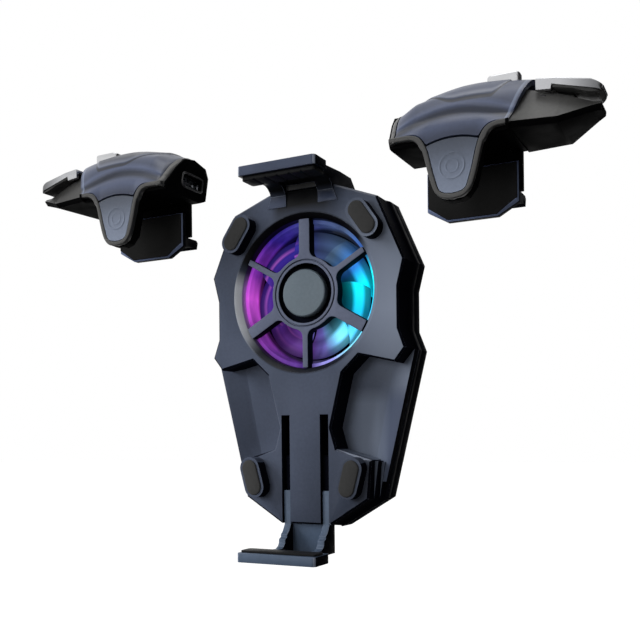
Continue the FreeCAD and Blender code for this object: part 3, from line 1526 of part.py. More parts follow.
def trigger_switch_top():
    return SEAT + s.well_floor + s.trigger_switch_thick


def top_button(side_name, side):
    """Silver key on the cover with its retaining flange and stem."""
    body = module_body(side_name, side, "top_button")
    top = SEAT + s.key_top
    low = top - s.key_tall
    half, deep = s.key_long / 2, s.key_deep / 2

    def plate(more):
        return polygon(sided(side, [
            (s.key_out - half - more, -s.key_front - deep - more),
            (s.key_out + half + more, -s.key_front - deep - more),
            (s.key_out + half + more, -s.key_front + deep + more),
            (s.key_out - half - more, -s.key_front + deep + more)]))
    pad(body, "key", "z", low, top, [plate(0)])
    dress(body, "Fillet", "corners", s.key_deep * 0.35, along("z"))
    dress(body, "Fillet", "top_edge", s.key_play * 2, on_level("z", top))
    pad(body, "stem", "z", key_switch_top() + s.key_travel + 0.1, low + 0.1,
        [circle(side * s.key_out, -s.key_front, s.key_stem)])
    return body


def key_switch_top():
    return SEAT + s.key_top - s.key_tall - s.key_travel - 2.4


def circuit_board(side_name, side):
    """Module board with its two key switches."""
    body = module_body(side_name, side, "circuit_board")
    low = SEAT + s.floor_wall
    top = low + s.board_thick
    inner = -s.wing_inner + s.end_wall + s.fit_gap
    outer = s.wing_outer - 1.4 - s.fit_gap
    back = s.leg_front - 2 * s.screw_head_radius - 0.4
    outline = [(inner, back - s.module_board_deep), (outer, back - s.module_board_deep),
               (outer, back), (inner, back)]
    pad(body, "board", "z", low, top, [polygon(sided(side, outline))])
    half = s.switch_wide / 2
    tower = [(s.key_out - half, -s.key_front - half), (s.key_out + half - 0.7, -s.key_front - half),
             (s.key_out + half - 0.7, -s.key_front + half), (s.key_out - half, -s.key_front + half)]
    pad(body, "key_switch", "z", top - 0.1, key_switch_top(), [polygon(sided(side, tower))])
    return body


def trigger_switch(side_name, side):
    """Small switch on the floor of the trigger's well."""
    body = module_body(side_name, side, "trigger_switch")
    half = s.trigger_switch_wide / 2
    middle = s.lever_start + s.lever_skirt + 2.3
    depth = -(s.well_front + s.well_back) / 2
    outline = [(middle - half, depth - half), (middle + half, depth - half),
               (middle + half, depth + half), (middle - half, depth + half)]
    pad(body, "block", "z", SEAT + s.well_floor, trigger_switch_top(),
        [polygon(sided(side, outline))])
    return body


def module_battery(side_name, side):
    """Small cell on the module board."""
    body = module_body(side_name, side, "battery")
    low = SEAT + s.floor_wall + s.board_thick + s.fit_gap
    left = -s.wing_inner + s.usb_deep + 0.6
    front = -s.module_cell_deep - 1.6
    outline = [(left, front), (left + s.module_cell_long, front),
               (left + s.module_cell_long, front + s.module_cell_deep),
               (left, front + s.module_cell_deep)]
    pad(body, "cell", "z", low, low + s.module_cell_thick, [polygon(sided(side, outline))])
    dress(body, "Fillet", "corners", s.module_cell_thick * 0.2, along("z"))
    return body


def module_socket(side_name, side):
    """Micro charging socket in the module's inner end wall."""
    body = module_body(side_name, side, "usb_socket")
    low, high = socket_levels()
    skin = s.usb_skin
    half = s.usb_wide / 2
    middle = socket_middle()
    start, end = ordered(side, -s.wing_inner + 0.4, -s.wing_inner + s.usb_deep)
    pad(body, "shell", "x", start, end, [box(middle - half, middle + half, low, high)])
    hollow = box(middle - half + skin, middle + half - skin, low + skin, high - skin)
    start, end = ordered(side, -s.wing_inner + 0.4, -s.wing_inner + s.usb_deep - skin * 3)
    cut(body, "mouth", "x", start, end, [hollow])
    level = (low + high) / 2
    tongue = box(middle - half * 0.7, middle + half * 0.7,
                 level - s.usb_tongue / 2, level + s.usb_tongue / 2)
    start, end = ordered(side, -s.wing_inner + 0.4 + skin * 3, -s.wing_inner + s.usb_deep - skin)
    pad(body, "tongue", "x", start, end, [tongue])
    return body


def module_screws(side_name, side):
    """Two screws that hold the cover on the lower shell."""
    body = module_body(side_name, side, "screws")
    head_top = SEAT + s.screw_head_thick
    heads = [circle(side * x, y, s.screw_head_radius) for x, y in module_screw_places()]
    pad(body, "heads", "z", SEAT, head_top, heads)
    shanks = [circle(side * x, y, s.screw_radius) for x, y in module_screw_places()]
    pad(body, "shanks", "z", head_top - 0.1, SHELL_TOP + 3, shanks)
    recesses = [cross(side * x, y, s.drive_wide, s.screw_head_radius * 0.6)
                for x, y in module_screw_places()]
    cut(body, "drives", "z", SEAT, SEAT + s.drive_deep, recesses)
    return body


COOLER_PARTS = [
    front_cover, upper_rest_pads, lower_rest_pads, rear_housing, back_cover, case_screws,
    fan_guard, hub_cap, light_ring, led_board, fan_frame, bearing, motor_stator, fan_rotor,
    rotor_magnet, rotor_shaft, control_board, battery, usb_board, cooler_socket,
    power_button, top_hook, hook_pad, lower_claw, claw_pad, claw_guide,
]
MODULE_PARTS = [
    main_shell, top_cover, tongue_panel, touch_pad, jaw_plate, jaw_pad, jaw_pins,
    jaw_springs, trigger_plate, trigger_core, trigger_pin, top_button, circuit_board,
    trigger_switch, module_battery, module_socket, module_screws,
]


def find_faults():
    """Names the objects that failed and the features that added or removed nothing."""
    faults = []
    for item in doc.Objects:
        if "Invalid" in item.State or "Error" in item.State:
            faults.append(item.Label + " did not build")
    for body in doc.findObjects("PartDesign::Body"):
        last = None
        for item in body.Group:
            if not item.isDerivedFrom("PartDesign::Feature") or item.Shape.isNull():
                continue
            if last is not None:
                change = item.Shape.Volume - last
                cuts = item.TypeId.endswith(("Pocket", "Groove", "SubtractiveLoft"))
                adds = item.TypeId.endswith(("Pad", "AdditiveLoft"))
                if (cuts and change > -1e-6) or (adds and change < 1e-6):
                    faults.append(item.Label + " changed nothing")
            last = item.Shape.Volume
    return faults


def main():
    made = []
    for build in COOLER_PARTS:
        made.append(build())
    for side_name, side in (("left", -1), ("right", 1)):
        for build in MODULE_PARTS:
            made.append(build(side_name, side))
    doc.recompute()
    faults = find_faults()
    for item in made:
        if item.Shape.isNull() or not item.Shape.isValid():
            faults.append(item.Label + " has no sound shape")
    if faults:
        raise RuntimeError("; ".join(faults))
    for item in made:
        item.Shape.exportStep("parts/%s.step" % item.Label)
    print("%d sub-parts written" % len(made))


main()
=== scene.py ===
import json
import math

import bpy
from mathutils import Matrix, Vector


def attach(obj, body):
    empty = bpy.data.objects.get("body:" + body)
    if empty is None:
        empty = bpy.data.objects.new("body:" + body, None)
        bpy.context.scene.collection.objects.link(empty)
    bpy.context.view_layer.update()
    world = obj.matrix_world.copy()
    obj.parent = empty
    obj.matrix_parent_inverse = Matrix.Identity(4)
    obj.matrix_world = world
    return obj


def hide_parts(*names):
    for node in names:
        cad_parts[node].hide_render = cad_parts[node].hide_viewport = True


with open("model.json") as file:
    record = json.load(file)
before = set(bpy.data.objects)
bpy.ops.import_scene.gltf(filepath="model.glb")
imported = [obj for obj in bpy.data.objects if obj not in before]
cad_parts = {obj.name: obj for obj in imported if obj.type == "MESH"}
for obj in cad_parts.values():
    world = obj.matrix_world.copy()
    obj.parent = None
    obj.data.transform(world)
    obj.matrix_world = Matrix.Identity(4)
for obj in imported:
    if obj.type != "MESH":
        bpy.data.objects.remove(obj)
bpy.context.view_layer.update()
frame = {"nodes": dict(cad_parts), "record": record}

SIDES = ("left", "right")
FAN_LEVEL = 0.0142
FLOOR_LEVEL = -0.13
DUCT_EDGE = 0.0192
WELD = 0.000002
FINE_GRAIN = 0.00001
WHITE = (1, 1, 1, 1)

# Sizes of the trigger modules in millimetres, outwards from their middle

MODULE_MIDDLE = 41.8
LIP_LEVEL = -13.0
WING_TOP = 40.4
FRONT_TOP = WING_TOP + 0.2
HOOD_WALL = 1.1
OUTER_LEAN = 0.34
INNER_LEAN = 0.16
CROWN_EDGE = -10.4
CROWN_TURN = 7.0
CROWN_INNER_BEND = 0.077
CROWN_OUTER_BEND = 0.33
CROWN_RISE = 0.3
CROWN_SINK = 0.1


# Colours and material nodes


def linear(red, green, blue):
    """Colour as it is seen, 0 to 255, turned into light values."""
    def channel(value):
        value = value / 255
        return value / 12.92 if value <= 0.04045 else ((value + 0.055) / 1.055) ** 2.4
    return (channel(red), channel(green), channel(blue), 1)


def new_material(name):
    """Empty node material with its shader and the object's own coordinates."""
    material = bpy.data.materials.new(name)
    material.use_nodes = True
    tree = material.node_tree
    shader = tree.nodes["Principled BSDF"]
    place = tree.nodes.new("ShaderNodeTexCoord")
    return material, tree, shader, place.outputs["Object"]


def axis_of(tree, place, axis):
    split = tree.nodes.new("ShaderNodeSeparateXYZ")
    tree.links.new(place, split.inputs["Vector"])
    return split.outputs[axis]


def noise(tree, place, scale, detail=3, stretch=None):
    """Noise at a scale in waves per metre, stretched along the axes if asked."""
    if stretch:
        mapping = tree.nodes.new("ShaderNodeMapping")
        mapping.inputs["Scale"].default_value = stretch
        tree.links.new(place, mapping.inputs["Vector"])
        place = mapping.outputs["Vector"]
    texture = tree.nodes.new("ShaderNodeTexNoise")
    texture.inputs["Scale"].default_value = scale
    texture.inputs["Detail"].default_value = detail
    tree.links.new(place, texture.inputs["Vector"])
    return texture.outputs["Fac"]


def ramp(tree, value, stops):
    """Colour ramp through (position, light value) stops."""
    node = tree.nodes.new("ShaderNodeValToRGB")
    elements = node.color_ramp.elements
    while len(elements) < len(stops):
        elements.new(0.5)
    for element, (position, colour) in zip(elements, stops):
        element.position = position
        element.color = colour
    tree.links.new(value, node.inputs["Fac"])
    return node.outputs["Color"]


def shades(tree, value, stops):
    """Ramp through (position, grey) stops."""
    return ramp(tree, value, [(position, (grey, grey, grey, 1)) for position, grey in stops])


def tones(tree, value, stops):
    """Ramp through (position, colour) stops, with the colours as they are seen."""
    return ramp(tree, value, [(position, linear(*colour)) for position, colour in stops])


def spread(tree, value, low, high, new_low=0.0, new_high=1.0):
    """Maps a range of a value onto another one."""
    node = tree.nodes.new("ShaderNodeMapRange")
    for key, number in (("From Min", low), ("From Max", high),
                        ("To Min", new_low), ("To Max", new_high)):
        node.inputs[key].default_value = number
    tree.links.new(value, node.inputs["Value"])
    return node.outputs["Result"]


def feed(tree, sockets, values):
    """Sets each socket to a constant or links it to another node."""
    for socket, value in zip(sockets, values):
        if isinstance(value, (int, float, tuple)):
            socket.default_value = value
        else:
            tree.links.new(value, socket)


def calculate(tree, kind, *values):
    node = tree.nodes.new("ShaderNodeMath")
    node.operation = kind
    feed(tree, node.inputs, values)
    return node.outputs["Value"]


def times(tree, first, second):
    return calculate(tree, "MULTIPLY", first, second)


def blend_colours(tree, share, low, high, kind="MIX"):
    node = tree.nodes.new("ShaderNodeMix")
    node.data_type = "RGBA"
    node.blend_type = kind
    feed(tree, (node.inputs[0], node.inputs[6], node.inputs[7]), (share, low, high))
    return node.outputs[2]


def tinted(tree, colour, shade):
    return blend_colours(tree, 1.0, colour, shade, "MULTIPLY")


def painted(tree, mask, colour, red, green, blue):
    """Lays a seen colour over another one where a mask says so."""
    return blend_colours(tree, mask, colour, linear(red, green, blue))


def grain(tree, shader, place, scale, height):
    """Fine relief from noise."""
    relief = tree.nodes.new("ShaderNodeBump")
    relief.inputs["Strength"].default_value = 0.5
    relief.inputs["Distance"].default_value = height
    tree.links.new(noise(tree, place, scale, 4), relief.inputs["Height"])
    tree.links.new(relief.outputs["Normal"], shader.inputs["Normal"])


def around_fan(tree, place):
    """Share of a turn round the fan's axis, and the distance from that axis."""
    across = axis_of(tree, place, "X")
    up = calculate(tree, "SUBTRACT", axis_of(tree, place, "Z"), FAN_LEVEL)
    share = spread(tree, calculate(tree, "ARCTAN2", up, across), -math.pi, math.pi)
    squares = calculate(tree, "ADD", times(tree, across, across), times(tree, up, up))
    return share, calculate(tree, "SQRT", squares)


# Tones that vary over a piece: mostly painted light and shade


def face_painted_light(tree, place, colour):
    """Face plate: painted light, lighter on its lower right, and painted shade in the duct and
    under the hook.
    """
    across, up = axis_of(tree, place, "X"), axis_of(tree, place, "Z")
    # Painted light and shade in bands across the face
    slant = calculate(tree, "SUBTRACT", across, times(tree, up, 0.6))
    shade = shades(tree, spread(tree, slant, -0.045, 0.045), [
        (0.0, 0.66), (0.3, 0.76), (0.45, 0.6), (0.62, 0.7), (0.78, 0.5), (1.0, 0.36)])
    colour = tinted(tree, colour, shade)
    # Painted light: a paler patch on the face to the right of the fan
    beside = shades(tree, spread(tree, across, 0.008, 0.024), [(0.0, 0), (1.0, 1)])
    level = shades(tree, spread(tree, up, -0.035, 0.038), [
        (0.0, 0), (0.35, 0.35), (0.6, 1), (0.85, 0.7), (1.0, 0.2)])
    colour = painted(tree, tinted(tree, beside, level), colour, 132, 141, 158)
    share, reach = around_fan(tree, place)
    # Painted highlight on the duct's edge at the left of the fan
    edge = shades(tree, spread(tree, reach, 0.0172, 0.0196), [(0.0, 1), (0.6, 1), (0.82, 0)])
    lit_part = shades(tree, share, [
        (0.0, 1), (0.06, 0.9), (0.1, 0.35), (0.14, 0), (0.94, 0), (0.975, 1)])
    colour = painted(tree, tinted(tree, edge, lit_part), colour, 236, 240, 246)
    # Painted shade on the duct's edge below and above the fan
    duct_painted_shade = shades(tree, share, [
        (0.09, 0), (0.13, 0.9), (0.34, 0.9), (0.38, 0), (0.57, 0), (0.61, 1), (0.92, 1),
        (0.95, 0)])
    colour = painted(tree, tinted(tree, edge, duct_painted_shade), colour, 3, 3, 6)
    # Painted light on the floor of the lower right scoop
    sunk = spread(tree, axis_of(tree, place, "Y"), 0.0045, 0.0075)
    right = spread(tree, across, 0.004, 0.012)
    low = spread(tree, up, -0.008, -0.012)
    scoop = times(tree, times(tree, sunk, right), low)
    pale = tones(tree, across, [(0.0, (116, 126, 144)), (0.0155, (124, 134, 152)),
                                (0.019, (76, 84, 104)), (0.024, (60, 67, 86))])
    colour = blend_colours(tree, times(tree, scoop, 0.8), colour, pale)
    # Painted shadow on the face under the hook, between its arms
    under = shades(tree, spread(tree, across, -0.0085, 0.0115), [
        (0.0, 0), (0.1, 1), (0.7, 1), (1.0, 0)])
    behind = spread(tree, up, 0.0305, 0.035)
    return painted(tree, tinted(tree, under, behind), colour, 6, 7, 10)


def hook_painted_shade(tree, place, colour):
    """Hook: painted shade over its arms, from under its lip down to their feet."""
    shade = times(tree, spread(tree, axis_of(tree, place, "Z"), 0.0358, 0.0385),
                  spread(tree, axis_of(tree, place, "Y"), -0.0091, -0.0086))
    return painted(tree, shade, colour, 6, 7, 10)


def hood_painted_light(tree, place, colour):
    """Hood: painted shade in a crease with painted highlights on either side, a fine dark seam
    round its crown, painted shade on the left module's crown and a painted highlight on the
    slanted outer edge.
    """
    side, deep, up = (axis_of(tree, place, axis) for axis in "XYZ")
    out = calculate(tree, "ABSOLUTE", side)
    from_middle = calculate(tree, "SUBTRACT", out, MODULE_MIDDLE / 1000)
    arch = times(tree, times(tree, from_middle, from_middle), 22)
    crease = spread(tree, calculate(tree, "ADD", up, arch), 0.0395, 0.0525)
    # Painted light and shade in bands across the hood: dark in the crease, light on the apron and
    # the bulge
    shade = shades(tree, crease, [
        (0.0, 0.5), (0.16, 0.95), (0.25, 0.9), (0.33, 0.24), (0.39, 0.28), (0.49, 1.1),
        (0.58, 0.66), (0.75, 0.85), (1.0, 0.75)])
    colour = tinted(tree, colour, shade)
    inner = calculate(tree, "MAXIMUM", calculate(tree, "SUBTRACT", 0.0, from_middle), 0)
    turned = calculate(tree, "SUBTRACT", from_middle, CROWN_TURN / 1000)
    outer = calculate(tree, "MAXIMUM", turned, 0)
    bend = times(tree, times(tree, outer, outer), CROWN_OUTER_BEND * 1000)
    lift = times(tree, times(tree, inner, inner), CROWN_INNER_BEND * 1000)
    edge = calculate(tree, "ADD", calculate(tree, "ADD", lift, bend), CROWN_EDGE / 1000)
    past = calculate(tree, "SUBTRACT", deep, edge)
    seam = spread(tree, past, -0.001, 0.001)
    line = shades(tree, seam, [(0.34, 1), (0.42, 0.2), (0.52, 0.22), (0.6, 1)])
    colour = tinted(tree, colour, line)
    # Painted highlight just behind the seam
    glint = shades(tree, seam, [(0.58, 0), (0.64, 0.28), (0.8, 0.16), (1.0, 0)])
    colour = painted(tree, glint, colour, 176, 180, 190)
    # Painted shade on the crown of the left module
    left = spread(tree, side, -0.001, 0.001, 0.35, 1.0)
    crown = blend_colours(tree, spread(tree, past, 0.0002, 0.0012), WHITE, left)
    colour = tinted(tree, colour, crown)
    # Painted highlight on the slanted outer edge
    lean = calculate(tree, "SUBTRACT", out, times(tree, up, OUTER_LEAN))
    mask = shades(tree, spread(tree, lean, 0.0376, 0.0396), [
        (0.0, 0), (0.32, 0), (0.42, 0.6), (0.6, 0.4), (0.72, 0)])
    return painted(tree, mask, colour, 128, 140, 164)


def grip_painted_shading(tree, place, colour):
    """Grips: a painted highlight across the right one, painted shade over the left one."""
    shade = shades(tree, spread(tree, axis_of(tree, place, "X"), -0.07, 0.07), [
        (0.0, 0.12), (0.13, 0.6), (0.5, 0.4), (0.87, 0.35), (0.915, 1.1), (0.95, 0.9),
        (1.0, 0.4)])
    return tinted(tree, colour, shade)


def panel_painted_shade(tree, place, colour):
    """Inlay: painted shade, darker under its seam and lighter towards its tip."""
    shade = shades(tree, spread(tree, axis_of(tree, place, "Z"), 0.028, 0.0385), [
        (0.0, 1.5), (0.45, 1.15), (0.8, 0.62), (1.0, 0.42)])
    return tinted(tree, colour, shade)


def chrome_painted_shade(tree, place, colour):
    """Lever plate: painted shade, darker towards its tip."""
    out = calculate(tree, "ABSOLUTE", axis_of(tree, place, "X"))
    shade = shades(tree, spread(tree, out, 0.054, 0.0697), [
        (0.0, 1.15), (0.5, 1.0), (0.75, 0.6), (0.95, 0.3)])
    return tinted(tree, colour, shade)


# Materials


def moulded(name, low, high, rough, gloss=0.5, grain_scale=2600, grain_height=0.00003,
            slope=None):
    """Moulded plastic: patchy tone, uneven sheen and a fine spark-eroded grain."""
    material, tree, shader, place = new_material(name)
    tone = tones(tree, noise(tree, place, 60, 4), [(0.32, low), (0.68, high)])
    fine = shades(tree, noise(tree, place, 1400, 2), [(0.3, 0.9), (0.7, 1)])
    colour = tinted(tree, tone, fine)
    if slope:
        colour = slope(tree, place, colour)
    tree.links.new(colour, shader.inputs["Base Color"])
    sheen = spread(tree, noise(tree, place, 240, 3), 0.3, 0.7, rough - 0.05, rough + 0.07)
    tree.links.new(sheen, shader.inputs["Roughness"])
    shader.inputs["Specular IOR Level"].default_value = gloss
    grain(tree, shader, place, grain_scale, grain_height)
    return material


def metal(name, low, high, rough, stretch=(1, 1, 40), scale=300, slope=None):
    """Metal with fine drawn lines."""
    material, tree, shader, place = new_material(name)
    lines = noise(tree, place, scale, 4, stretch)
    colour = tones(tree, lines, [(0.3, low), (0.7, high)])
    if slope:
        colour = slope(tree, place, colour)
    tree.links.new(colour, shader.inputs["Base Color"])
    tree.links.new(spread(tree, lines, 0.3, 0.7, rough - 0.04, rough + 0.06),
                   shader.inputs["Roughness"])
    shader.inputs["Metallic"].default_value = 1
    return material


def circuit_green():
    """Green circuit board with paler tracks."""
    material, tree, shader, place = new_material("board_green")
    cells = tree.nodes.new("ShaderNodeTexVoronoi")
    cells.distance = "CHEBYCHEV"
    cells.inputs["Scale"].default_value = 700
    tree.links.new(place, cells.inputs["Vector"])
    colour = tones(tree, cells.outputs["Distance"], [
        (0.25, (20, 74, 48)), (0.5, (34, 100, 66)), (0.75, (150, 140, 90))])
    tree.links.new(colour, shader.inputs["Base Color"])
    shader.inputs["Roughness"].default_value = 0.35
    grain(tree, shader, place, 1800, 0.00004)
    return material


# Colours of the light round the fan, as shares of a turn from the left
GUIDE_TONES = [
    (0.0, (206, 84, 214)), (0.1, (120, 52, 150)), (0.22, (84, 52, 132)),
    (0.3, (150, 150, 225)), (0.36, (150, 240, 255)), (0.44, (40, 190, 235)),
    (0.52, (30, 245, 250)), (0.58, (60, 110, 190)), (0.66, (66, 84, 116)),
    (0.76, (50, 56, 116)), (0.84, (60, 40, 150)), (0.93, (130, 50, 165)),
    (1.0, (206, 84, 214))]
# Painted glow of that light in the blades
BLADE_TONES = [
    (0.0, (96, 52, 176)), (0.12, (88, 46, 128)), (0.22, (110, 66, 158)),
    (0.29, (130, 124, 214)), (0.36, (120, 226, 255)), (0.43, (30, 200, 244)),
    (0.52, (10, 236, 252)), (0.58, (50, 130, 220)), (0.66, (84, 114, 150)),
    (0.74, (70, 84, 146)), (0.8, (58, 50, 176)), (0.9, (70, 44, 170)),
    (1.0, (96, 52, 176))]


def rim_light(tree, place, share, sway, stops):
    """Colours round the fan, with borders that sway a little."""
    wave = spread(tree, noise(tree, place, 90, 2), 0.3, 0.7, -sway, sway)
    return tones(tree, calculate(tree, "ADD", share, wave), stops)


def light_up(tree, shader, lit, strength, rough):
    """Lets a surface glow in its own colour."""
    tree.links.new(lit, shader.inputs["Base Color"])
    tree.links.new(lit, shader.inputs["Emission Color"])
    shader.inputs["Emission Strength"].default_value = strength
    shader.inputs["Roughness"].default_value = rough


def blades_painted_glow():
    """Dark clear blades with a painted glow of the rim's light in them: cyan on the right, arcs
    on the left.
    """
    material, tree, shader, place = new_material("blades_painted_glow")
    share, reach = around_fan(tree, place)
    tone = rim_light(tree, place, share, 0.015, BLADE_TONES)
    span = spread(tree, reach, 0.006, 0.0175)
    left = shades(tree, span, [
        (0.15, 0.35), (0.3, 0.55), (0.42, 0.3), (0.56, 0.5), (0.7, 0.26), (0.82, 0.12)])
    right = shades(tree, span, [
        (0.2, 0.06), (0.38, 0.18), (0.47, 1), (0.62, 1), (0.7, 0.26), (0.82, 0.14)])
    turn = shades(tree, share, [(0.29, 0), (0.34, 1), (0.56, 1), (0.62, 0.25), (0.72, 0)])
    lit = tinted(tree, tone, blend_colours(tree, turn, left, right))
    # Painted reflections of the rim's light in arcs on the left
    arcs = shades(tree, span, [
        (0.36, 0), (0.4, 0.9), (0.43, 0), (0.6, 0), (0.64, 0.35), (0.7, 0)])
    side = shades(tree, share, [
        (0.0, 0.6), (0.1, 0.1), (0.25, 0), (0.78, 0), (0.86, 0.8), (1.0, 0.6)])
    lit = painted(tree, tinted(tree, arcs, side), lit, 226, 120, 232)
    light_up(tree, shader, lit, 0.9, 0.2)
    shader.inputs["Specular IOR Level"].default_value = 0.08
    return material


def lit_ring():
    """Clear light guide, bright at its edge, with curved streaks."""
    material, tree, shader, place = new_material("lit_ring")
    share, reach = around_fan(tree, place)
    tone = rim_light(tree, place, share, 0.02, GUIDE_TONES)
    rings = shades(tree, spread(tree, reach, 0.006, 0.0175), [
        (0.0, 0.1), (0.86, 0.12), (0.93, 1), (1.0, 1)])
    streaks = ramp(tree, noise(tree, place, 160, 3, (1, 1, 0.4)), [
        (0.35, (0.45, 0.45, 0.5, 1)), (0.6, WHITE)])
    light_up(tree, shader, tinted(tree, tinted(tree, tone, rings), streaks), 0.95, 0.12)
    shader.inputs["IOR"].default_value = 1.2
    return material


def make_materials():
    """Every finish: name, darker and lighter tone, roughness, then gloss or the lines' run."""
    return {
        # The face, frame, hook and claw looks are copies of one navy, made lighter or darker as
        # painted light and shade
        "face": moulded("navy_face", (76, 85, 105), (92, 101, 122), 0.42, 0.25,
                        slope=face_painted_light),
        "frame": moulded("navy_frame", (92, 99, 120), (106, 113, 134), 0.38, 0.3),
        "hook": moulded("navy_hook", (54, 62, 82), (70, 78, 98), 0.36, 0.3, slope=hook_painted_shade),
        "claw": moulded("navy_claw", (72, 86, 106), (87, 102, 123), 0.36, 0.4),
        # Near-black copy of the navy: painted shade on walls and parts that lie in shade
        "wall": moulded("navy_painted_shade", (8, 9, 16), (14, 16, 26), 0.45, 0.012),
        # Pale copy of the navy: painted highlight on narrow bevels
        "edge": moulded("edge_painted_highlight", (124, 133, 152), (146, 155, 173), 0.35, 0.5),
        # Navy darkened to near black: painted shade for the housing's sides turned from the light
        "housing": moulded("housing_black", (9, 10, 16), (16, 18, 27), 0.5, 0.008),
        "disc": moulded("disc_grey", (88, 100, 110), (104, 117, 126), 0.38, 0.5),
        "rubber": moulded("rubber_grey", (54, 54, 54), (68, 68, 68), 0.8, 0.15, 1500, 0.00005),
        "strip": moulded("strip_black", (24, 24, 25), (36, 36, 37), 0.5, 0.1),
        "cover": moulded("cover_blue", (66, 75, 100), (80, 89, 114), 0.34, 0.45, 3200,
                         FINE_GRAIN, hood_painted_light),
        "panel": moulded("panel_blue", (98, 106, 122), (110, 118, 134), 0.4, 0.4,
                         slope=panel_painted_shade),
        "rim": moulded("rim_grey", (58, 58, 58), (74, 74, 73), 0.36, 0.5),
        "shell": moulded("shell_black", (50, 50, 50), (66, 66, 65), 0.4, 0.1, 2600, FINE_GRAIN),
        "switch": moulded("switch_black", (8, 8, 9), (13, 13, 14), 0.55, 0.006, 2600,
                          FINE_GRAIN),
        # Grey copy of the black shell: painted light on its upward faces
        "grip": moulded("grip_painted_light", (78, 78, 77), (92, 92, 91), 0.36, 0.15, 2600,
                        FINE_GRAIN, grip_painted_shading),
        # Grey: painted highlight round the charging port
        "port_edge_highlight": moulded("port_edge_highlight", (64, 64, 66), (84, 84, 86), 0.3, 0.5),
        "jaw": moulded("jaw_blue", (96, 108, 140), (112, 124, 154), 0.35, 0.3),
        "jaw_face": moulded("jaw_rubber", (22, 22, 22), (34, 34, 34), 0.6, 0.08, 1800, 0.00004),
        "cell": moulded("cell_wrap", (120, 126, 138), (160, 166, 176), 0.3),
        "magnet": moulded("magnet_grey", (30, 30, 32), (52, 52, 55), 0.35),
        "chrome": metal("chrome_trim", (176, 177, 180), (192, 193, 196), 0.28, (1, 1, 6), 90,
                        chrome_painted_shade),
        "silver": metal("silver_key", (196, 197, 199), (214, 215, 217), 0.34, (1, 1, 6), 90),
        "steel": metal("bright_steel", (150, 152, 156), (196, 198, 202), 0.24),
        "dark_screw": metal("dark_screw", (44, 44, 46), (70, 70, 72), 0.35),
        "brass": metal("brass_sleeve", (178, 140, 80), (214, 178, 112), 0.3),
        "copper": metal("copper_winding", (120, 62, 34), (190, 108, 62), 0.35, (1, 30, 1), 500),
        "board": circuit_green(),
        "lamp_ring": lit_ring(),
        "blades": blades_painted_glow(),
    }


# Pieces


def body_of_node(node):
    for body, nodes in BODIES.items():
        if node in nodes:
            return body
    return "cooler"


def select_none():
    bpy.ops.object.select_all(action="DESELECT")


def select_only(piece):
    select_none()
    piece.select_set(True)
    bpy.context.view_layer.objects.active = piece


def added(name, data):
    """New object in the scene."""
    item = bpy.data.objects.new(name, data)
    bpy.context.scene.collection.objects.link(item)
    return item


def edit_all(piece, *steps):
    """Runs operators with their settings on the whole mesh in edit mode."""
    select_only(piece)
    bpy.ops.object.mode_set(mode="EDIT")
    for operator, settings in steps:
        bpy.ops.mesh.select_all(action="SELECT")
        operator(**settings)
    bpy.ops.object.mode_set(mode="OBJECT")


def apply_modifier(piece, kind, **settings):
    select_only(piece)
    modifier = piece.modifiers.new("shaping", kind)
    for key, value in settings.items():
        setattr(modifier, key, value)
    bpy.ops.object.modifier_apply(modifier=modifier.name)


def round_edges(piece, width, segments, limit):
    """Bevels the edges that turn more than a limit in degrees."""
    apply_modifier(piece, "BEVEL", width=width, segments=segments, limit_method="ANGLE",
                   angle_limit=math.radians(limit))


def cut_away(piece, block):
    apply_modifier(piece, "BOOLEAN", operation="DIFFERENCE", object=block)
    bpy.data.objects.remove(block)


def dressed(piece, material, smooth, body, *nodes):
    """Gives a finished mesh its material, its shading and the body it moves with."""
    piece.data.materials.clear()
    piece.data.materials.append(material)
    select_only(piece)
    bpy.ops.object.shade_smooth_by_angle(angle=math.radians(smooth))
    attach(piece, body)
    if nodes:
        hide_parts(*nodes)
    return piece


def soften(node, title, material, width, smooth=35):
    """A piece in a node's place with its edges rounded as moulded plastic has them."""
    piece = added(title, frame["nodes"][node].data.copy())
    edit_all(piece, (bpy.ops.mesh.remove_doubles, {"threshold": WELD}),
             (bpy.ops.mesh.dissolve_limited, {"angle_limit": math.radians(0.4)}))
    round_edges(piece, width, 2, 24)
    edit_all(piece, (bpy.ops.mesh.quads_convert_to_tris,
                     {"quad_method": "BEAUTY", "ngon_method": "BEAUTY"}))
    return dressed(piece, material, smooth, body_of_node(node), node)


def finish_node(node, material):
    """Gives a CAD node that is shown as it is its finished material."""
    target = frame["nodes"][node]
    if not target.material_slots:
        target.data.materials.append(material)
    for place in target.material_slots:
        place.material = material


def second_look(piece, material, chosen):
    """Gives the faces that a test picks another material."""
    piece.data.materials.append(material)
    last = len(piece.data.materials) - 1
    for face in piece.data.polygons:
        if chosen(face):
            face.material_index = last


def between(share, before, start, end, after):
    """Point of a smooth curve between two points, given the two beyond them."""
    return tuple(
        0.5 * (2 * b + (c - a) * share + (2 * a - 5 * b + 4 * c - d) * share ** 2
               + (3 * b - a - 3 * c + d) * share ** 3)
        for a, b, c, d in zip(before, start, end, after))


def curve_through(points, steps):
    """Smooth run of points through the given ones, with steps between each two."""
    last = len(points) - 1
    run = []
    for index in range(last):
        near = [points[min(max(index + k, 0), last)] for k in (-1, 0, 1, 2)]
        run += [between(step / steps, *near) for step in range(steps)]
    return run + [tuple(points[-1])]


